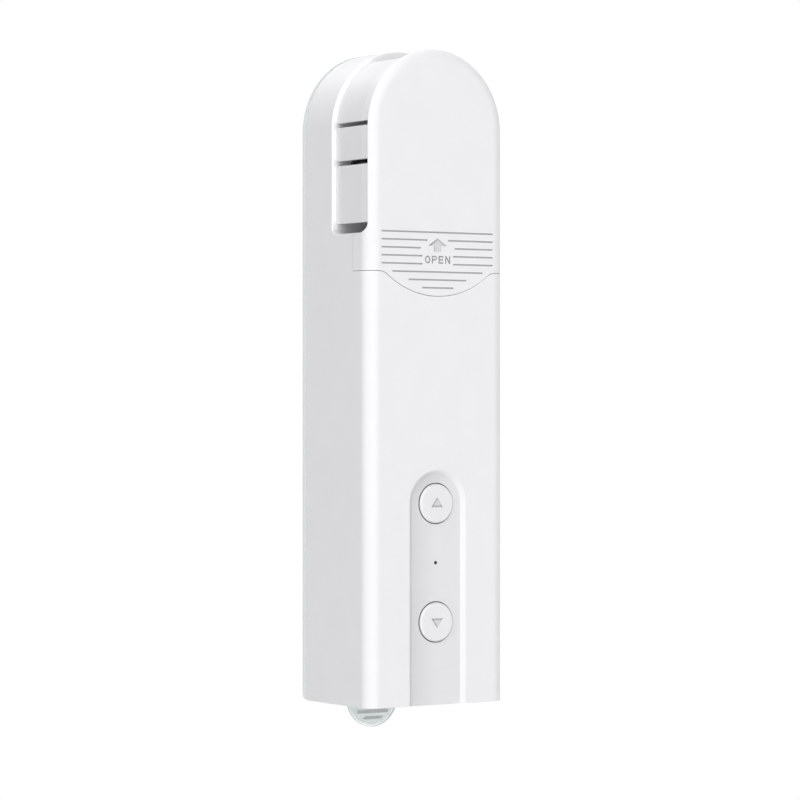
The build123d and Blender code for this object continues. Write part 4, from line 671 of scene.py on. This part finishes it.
# Cells: two lithium cells in blue shrink film over steel cans, side by side in a moulded cradle.
# Pure nickel strip is welded across their ends, with two lugs up to the leads.
FILM_BLUE = (0.05, 0.15, 0.36)
FRAME_GREY = (0.075, 0.078, 0.082)
NICKEL = (0.70, 0.69, 0.66)
FILM_START = 0.05 * MM
FILM_WRAP = 1.2 * MM


def shrink_film(name, low_z, high_z):
    """Glossy film with faint drawn-up wrinkles, and bare metal past its two shrunk ends."""
    finish = moulded_plastic(name, FILM_BLUE, roughness=0.24, grain=0.04)
    tree = finish.node_tree
    shader = tree.nodes["Principled BSDF"]
    height = on_piece(tree)["Z"]
    above = reckoned(tree, "GREATER_THAN", height, high_z)
    below = reckoned(tree, "LESS_THAN", height, low_z)
    bare = reckoned(tree, "MAXIMUM", above, below)
    coloured = shader.inputs["Base Color"].links[0].from_socket
    feed(tree, shader.inputs["Metallic"], bare)
    feed(tree, shader.inputs["Base Color"], blended(tree, bare, coloured, opaque(NICKEL)))
    return finish


cell_low, cell_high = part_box("battery_cell_left")
film = shrink_film("cell_film", cell_low.z + FILM_START, cell_high.z - FILM_WRAP)
dress(film, "battery_cell_left", "battery_cell_right")
dress(worked_metal("nickel_strip", NICKEL, 0.3, marks=(1.5, 0.2, 0.2)), "cell_links")
filled_nylon = moulded_plastic("glass_filled_nylon", FRAME_GREY, 0.55, 0.3, contrast=0.12)
dress(filled_nylon, "battery_cradle")


# Leads: soft black insulation, four from the encoder board to the main board and two from the
# cells' lugs, each bent by hand on the way to its socket.
LEAD_BLACK = (0.022, 0.022, 0.024)
insulation = moulded_plastic("lead_insulation", LEAD_BLACK, 0.38, 0.12, contrast=0.08)
dress(insulation, "battery_leads", "motor_leads")


# Motor: a drawn steel can with two ring magnets, a three-slot rotor between a bronze bush and a
# moulded end cap, carbon brushes, and the small magnet, board and sensor that count its turns.
CAN_STEEL = (0.50, 0.50, 0.51)
FERRITE = (0.055, 0.055, 0.06)
BRONZE = (0.52, 0.33, 0.16)
LAMINATION_STEEL = (0.34, 0.34, 0.35)
WIRE_COPPER = (0.50, 0.20, 0.08)
WIRE_REACH = 0.86
SHEET_THICKNESS = 0.5
CARBON = (0.03, 0.03, 0.032)
BRASS = (0.66, 0.47, 0.19)
PORE_EDGE = (0.1, 0.35)
PORE_SHADE = 0.55


def sintered(name, colour, roughness, metallic, pore):
    """Pressed powder: open pores, of a size given in millimetres, as dark pits in a dull skin."""
    finish = moulded_plastic(name, colour, roughness, grain=0.3, contrast=0.08)
    tree = finish.node_tree
    shader = tree.nodes["Principled BSDF"]
    shader.inputs["Metallic"].default_value = metallic
    place = tree.nodes.new("ShaderNodeTexCoord")
    pores = tree.nodes.new("ShaderNodeTexVoronoi")
    pores.inputs["Scale"].default_value = 1.0 / (pore * MM)
    tree.links.new(place.outputs["Object"], pores.inputs["Vector"])
    shade = ranged(tree, pores.outputs["Distance"], *PORE_EDGE, PORE_SHADE)
    skin = shader.inputs["Base Color"].links[0].from_socket
    feed(tree, shader.inputs["Base Color"], blended(tree, 1.0, skin, shade, "MULTIPLY"))
    return finish


def off_axis(tree, centre_z):
    """How far a place lies from an axis that runs along Y at a height."""
    place = tree.nodes.new("ShaderNodeTexCoord")
    flat = tree.nodes.new("ShaderNodeMapping")
    flat.inputs["Location"].default_value = (0.0, 0.0, -centre_z)
    flat.inputs["Scale"].default_value = (1.0, 0.0, 1.0)
    tree.links.new(place.outputs["Object"], flat.inputs["Vector"])
    reach = tree.nodes.new("ShaderNodeVectorMath")
    reach.operation = "LENGTH"
    tree.links.new(flat.outputs["Vector"], reach.inputs[0])
    return reach.outputs["Value"]


def wound_rotor(name, centre_z, core_r, sheet):
    """Edges of stacked steel sheets outside, enamelled copper wire further in."""
    marks = (1.0, sheet, 1.0)
    finish = worked_metal(name, LAMINATION_STEEL, 0.42, marks, contrast=0.3, depth=0.02)
    tree = finish.node_tree
    shader = tree.nodes["Principled BSDF"]
    inner = reckoned(tree, "LESS_THAN", off_axis(tree, centre_z), core_r)
    steel = shader.inputs["Base Color"].links[0].from_socket
    feed(tree, shader.inputs["Base Color"], blended(tree, inner, steel, opaque(WIRE_COPPER)))
    return finish


rotor_low, rotor_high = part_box("motor_rotor")
rotor_z = middle_height("motor_rotor")
rotor_r = (rotor_high.z - rotor_low.z) / 2
dress(worked_metal("drawn_can_steel", CAN_STEEL, 0.33, marks=(0.25, 3.0, 0.25)), "motor_can")
ferrite = sintered("ferrite", FERRITE, 0.5, metallic=0.2, pore=0.35)
dress(ferrite, "motor_magnets", "encoder_magnet")
oiled_bronze = sintered("oiled_bronze", BRONZE, 0.34, metallic=1.0, pore=0.3)
dress(oiled_bronze, "motor_bush", "output_bushes")
rotor_finish = wound_rotor("wound_rotor", rotor_z, WIRE_REACH * rotor_r, SHEET_THICKNESS)
dress(rotor_finish, "motor_rotor")
dress(filled_nylon, "motor_end_cap")
dress(sintered("brush_carbon", CARBON, 0.45, metallic=0.1, pore=0.25), "motor_brushes")
dress(board_laminate, "encoder_board")
dress(epoxy, "hall_sensor")
dress(worked_metal("turned_brass", BRASS, 0.28, marks=(0.8, 0.12, 0.8)), "motor_pinion")


# Gearbox: two moulded plates on pillars, steel pins, one acetal and two sintered steel gears in
# three layers, and small zinc-plated cross-head screws.
ACETAL = (0.80, 0.79, 0.73)
GEAR_STEEL = (0.36, 0.35, 0.34)
GROUND_STEEL = (0.62, 0.62, 0.63)
SCREW_ZINC = (0.60, 0.60, 0.61)
dress(filled_nylon, "gearbox_front_plate", "gearbox_rear_plate")
dress(moulded_plastic("natural_acetal", ACETAL, roughness=0.30, grain=0.05), "stage_1_gear")
gear_steel = sintered("gear_steel", GEAR_STEEL, 0.40, metallic=1.0, pore=0.25)
dress(gear_steel, "stage_2_gear", "output_gear")
ground_steel = worked_metal("ground_steel", GROUND_STEEL, 0.22, marks=(1.0, 0.1, 1.0))
dress(ground_steel, "gear_pins", "output_shaft")
zinc_screw = worked_metal("zinc_plated_steel", SCREW_ZINC, 0.30, (0.3, 0.1, 0.3), contrast=0.10)
dress(zinc_screw, "gearbox_screws", "gearbox_mount_screws", "motor_screws", "board_screws")


# Chain wheel and guide: the wheel in grey acetal, the guide in dark nylon. Six round pockets take
# the chain's beads, a groove takes its cord, and the guide holds the chain in the pockets up to
# the open top.
WHEEL_GREY = (0.47, 0.47, 0.48)
WHEEL_EDGE = 0.08 * MM
wheel_acetal = moulded_plastic("wheel_acetal", WHEEL_GREY, roughness=0.36, grain=0.12)
soft_edged("chain_wheel", WHEEL_EDGE, wheel_acetal, "chain_drive")
guide_nylon = moulded_plastic("guide_nylon", FRAME_GREY, 0.5, 0.25, contrast=0.1)
soft_edged("chain_guide", WHEEL_EDGE, guide_nylon, "housing")
dress(zinc_screw, "wheel_screw", "guide_screws")


# Rear cover: a flat plate in the shell's plastic, let in flush with its back and held by six sunk
# screws. Four slots take the wall plate's hooks.
rear_plastic = moulded_plastic("rear_cover_plastic", SHELL_WHITE, roughness=0.48, grain=0.2)
soft_edged("rear_cover", COVER_EDGE, rear_plastic, "housing")
dress(zinc_screw, "shell_screws")


# Wall plate and release tab: clear plastic with a slight grey-green cast. The plate is gloss. The
# tab, the lower end of its springy tongue, is a little milky and has two ridges for a fingertip.
# On the tab, painted shadow bands lie above the ridges, a painted highlight lightens its front,
# and a painted bright rim follows its round edge.
CLEAR_CAST = (0.46, 0.55, 0.545)
TAB_CAST = (0.54, 0.61, 0.605)
CLEAR_INDEX = 1.49
CLEAR_GRAIN = 0.1
PLATE_BODY = 0.28
TAB_BODY = 0.46
EDGE_ON = 0.55
EDGE_ON_BODY = 0.5
CLEAR_EDGE = 0.08 * MM
TAB_EDGE = 0.16 * MM
RIDGE_SHADOW_BANDS = ((5.0, 3.7, 4.7), (2.9, 2.05, 2.95))
RIDGE_SHADOW_SHADE = 0.30
TAB_FRONT_HIGHLIGHT = 1.5
TAB_SET_IN = 1.15 * MM
TAB_RIM = 0.55 * MM
RIM_BLUR = 0.1 * MM
RIM_SHARE = 0.15
TAB_SKIN = 0.10 * MM
SKIN_BLUR = 0.04 * MM
SKIN_BODY = 0.75


def clear_plastic(name, colour, roughness, body):
    """Clear moulding: the view goes straight through it, less so where it is seen edge on."""
    finish = moulded_plastic(name, colour, roughness, CLEAR_GRAIN)
    tree = finish.node_tree
    shader = tree.nodes["Principled BSDF"]
    shader.inputs["IOR"].default_value = CLEAR_INDEX
    facing = tree.nodes.new("ShaderNodeLayerWeight").outputs["Facing"]
    most = min(1.0, body + EDGE_ON_BODY)
    feed(tree, shader.inputs["Alpha"], ranged(tree, facing, EDGE_ON, 1.0, body, most))
    return finish


def rim_highlight(finish, centre_z, reach, outer):
    """A painted bright rim: lets the white sky through between two distances from an axis along Y,
    and holds it back past the outer one, for a darker outline where the edge turns away."""
    tree = finish.node_tree
    shader = tree.nodes["Principled BSDF"]
    spread = off_axis(tree, centre_z)
    inner = ranged(tree, spread, reach - RIM_BLUR, reach + RIM_BLUR, 1.0, RIM_SHARE)
    body = reckoned(tree, "MULTIPLY", shader.inputs["Alpha"].links[0].from_socket, inner)
    skin = ranged(tree, spread, outer - SKIN_BLUR, outer, 0.0, SKIN_BODY)
    feed(tree, shader.inputs["Alpha"], reckoned(tree, "MAXIMUM", body, skin))


plate_clear = clear_plastic("plate_clear", CLEAR_CAST, 0.12, PLATE_BODY)
soft_edged("wall_plate", CLEAR_EDGE, plate_clear, "wall_bracket")
tab_clear = clear_plastic("tab_clear", TAB_CAST, 0.30, TAB_BODY)
tab_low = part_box("release_latch")[0].z
tab_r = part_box("release_latch")[1].x
tab_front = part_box("wall_plate")[1].y - TAB_SET_IN
# Painted shadow: a dark band over the upper face of each ridge, as if shaded by the housing above.
for half, low, high in RIDGE_SHADOW_BANDS:
    shadow_band_low = (-half * MM, None, tab_low + low * MM)
    shadow_band_high = (half * MM, None, tab_low + high * MM)
    shaded_in(tab_clear, shadow_band_low, shadow_band_high, RIDGE_SHADOW_SHADE)
# Painted highlight: the front of the tab is lightened, as if lit from the floor below.
shaded_in(tab_clear, (None, None, tab_low), (None, tab_front, tab_low / 2), TAB_FRONT_HIGHLIGHT)
# Painted highlight: a bright rim inside the tab's round edge, with a darker outline.
rim_highlight(tab_clear, tab_low + tab_r, tab_r - TAB_RIM, tab_r - TAB_SKIN)
soft_edged("release_latch", TAB_EDGE, tab_clear, "latch")


# Adhesive pads: three pieces of closed-cell foam tape, die-cut with round corners. A thin skin of
# adhesive film covers both faces, and the foam between draws in a little at its cut sides.
PAD_CORNER = 3.0 * MM
PAD_CORNER_STEPS = 10
PAD_CUTS = ((20.0, 36.0), (52.0, 126.0), (142.0, 164.0))
PAD_SKIN = 0.07 * MM
PAD_DRAW_IN = 0.18 * MM
HEIGHT_TO_ROW = 89.0
FOAM_WHITE = (0.62, 0.63, 0.64)
FILM_GREY = (0.70, 0.71, 0.71)
FOAM_CELL = 0.12

pad_low, pad_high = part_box("adhesive_pads")
pad_shape = bmesh.new()
for cut_low, cut_high in PAD_CUTS:
    low_z = (cut_low - HEIGHT_TO_ROW) * MM
    high_z = (cut_high - HEIGHT_TO_ROW) * MM
    layers = (
        (pad_low.y, pad_low.y + PAD_SKIN, 0.0, 1),
        (pad_low.y + PAD_SKIN, pad_high.y - PAD_SKIN, PAD_DRAW_IN, 0),
        (pad_high.y - PAD_SKIN, pad_high.y, 0.0, 1),
    )
    for front, back, draw_in, stuff in layers:
        width = pad_high.x - pad_low.x - 2 * draw_in
        depth = back - front
        height = high_z - low_z - 2 * draw_in
        size = Matrix.Diagonal((width, depth, height, 1.0))
        middle = Vector((0.0, (front + back) / 2, (low_z + high_z) / 2))
        made = bmesh.ops.create_cube(pad_shape, size=1.0, matrix=Matrix.Translation(middle) @ size)
        edges = {edge for vert in made["verts"] for edge in vert.link_edges}
        through_edges = [e for e in edges if abs(e.verts[0].co.y - e.verts[1].co.y) > depth / 2]
        for face in {face for vert in made["verts"] for face in vert.link_faces}:
            face.material_index = stuff
        bmesh.ops.bevel(
            pad_shape,
            geom=through_edges,
            offset=PAD_CORNER - draw_in,
            offset_type="OFFSET",
            segments=PAD_CORNER_STEPS,
            profile=0.5,
            affect="EDGES",
            material=-1,
        )
bmesh.ops.recalc_face_normals(pad_shape, faces=pad_shape.faces)
pad_mesh = bpy.data.meshes.new("foam_pads")
pad_shape.to_mesh(pad_mesh)
pad_shape.free()
pad_mesh.materials.append(sintered("closed_cell_foam", FOAM_WHITE, 0.85, 0.0, FOAM_CELL))
pad_mesh.materials.append(moulded_plastic("adhesive_film", FILM_GREY, roughness=0.30, grain=0.15))
foam_pads = bpy.data.objects.new("foam_pads", pad_mesh)
bpy.context.scene.collection.objects.link(foam_pads)
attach(foam_pads, "wall_bracket")
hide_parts("adhesive_pads")
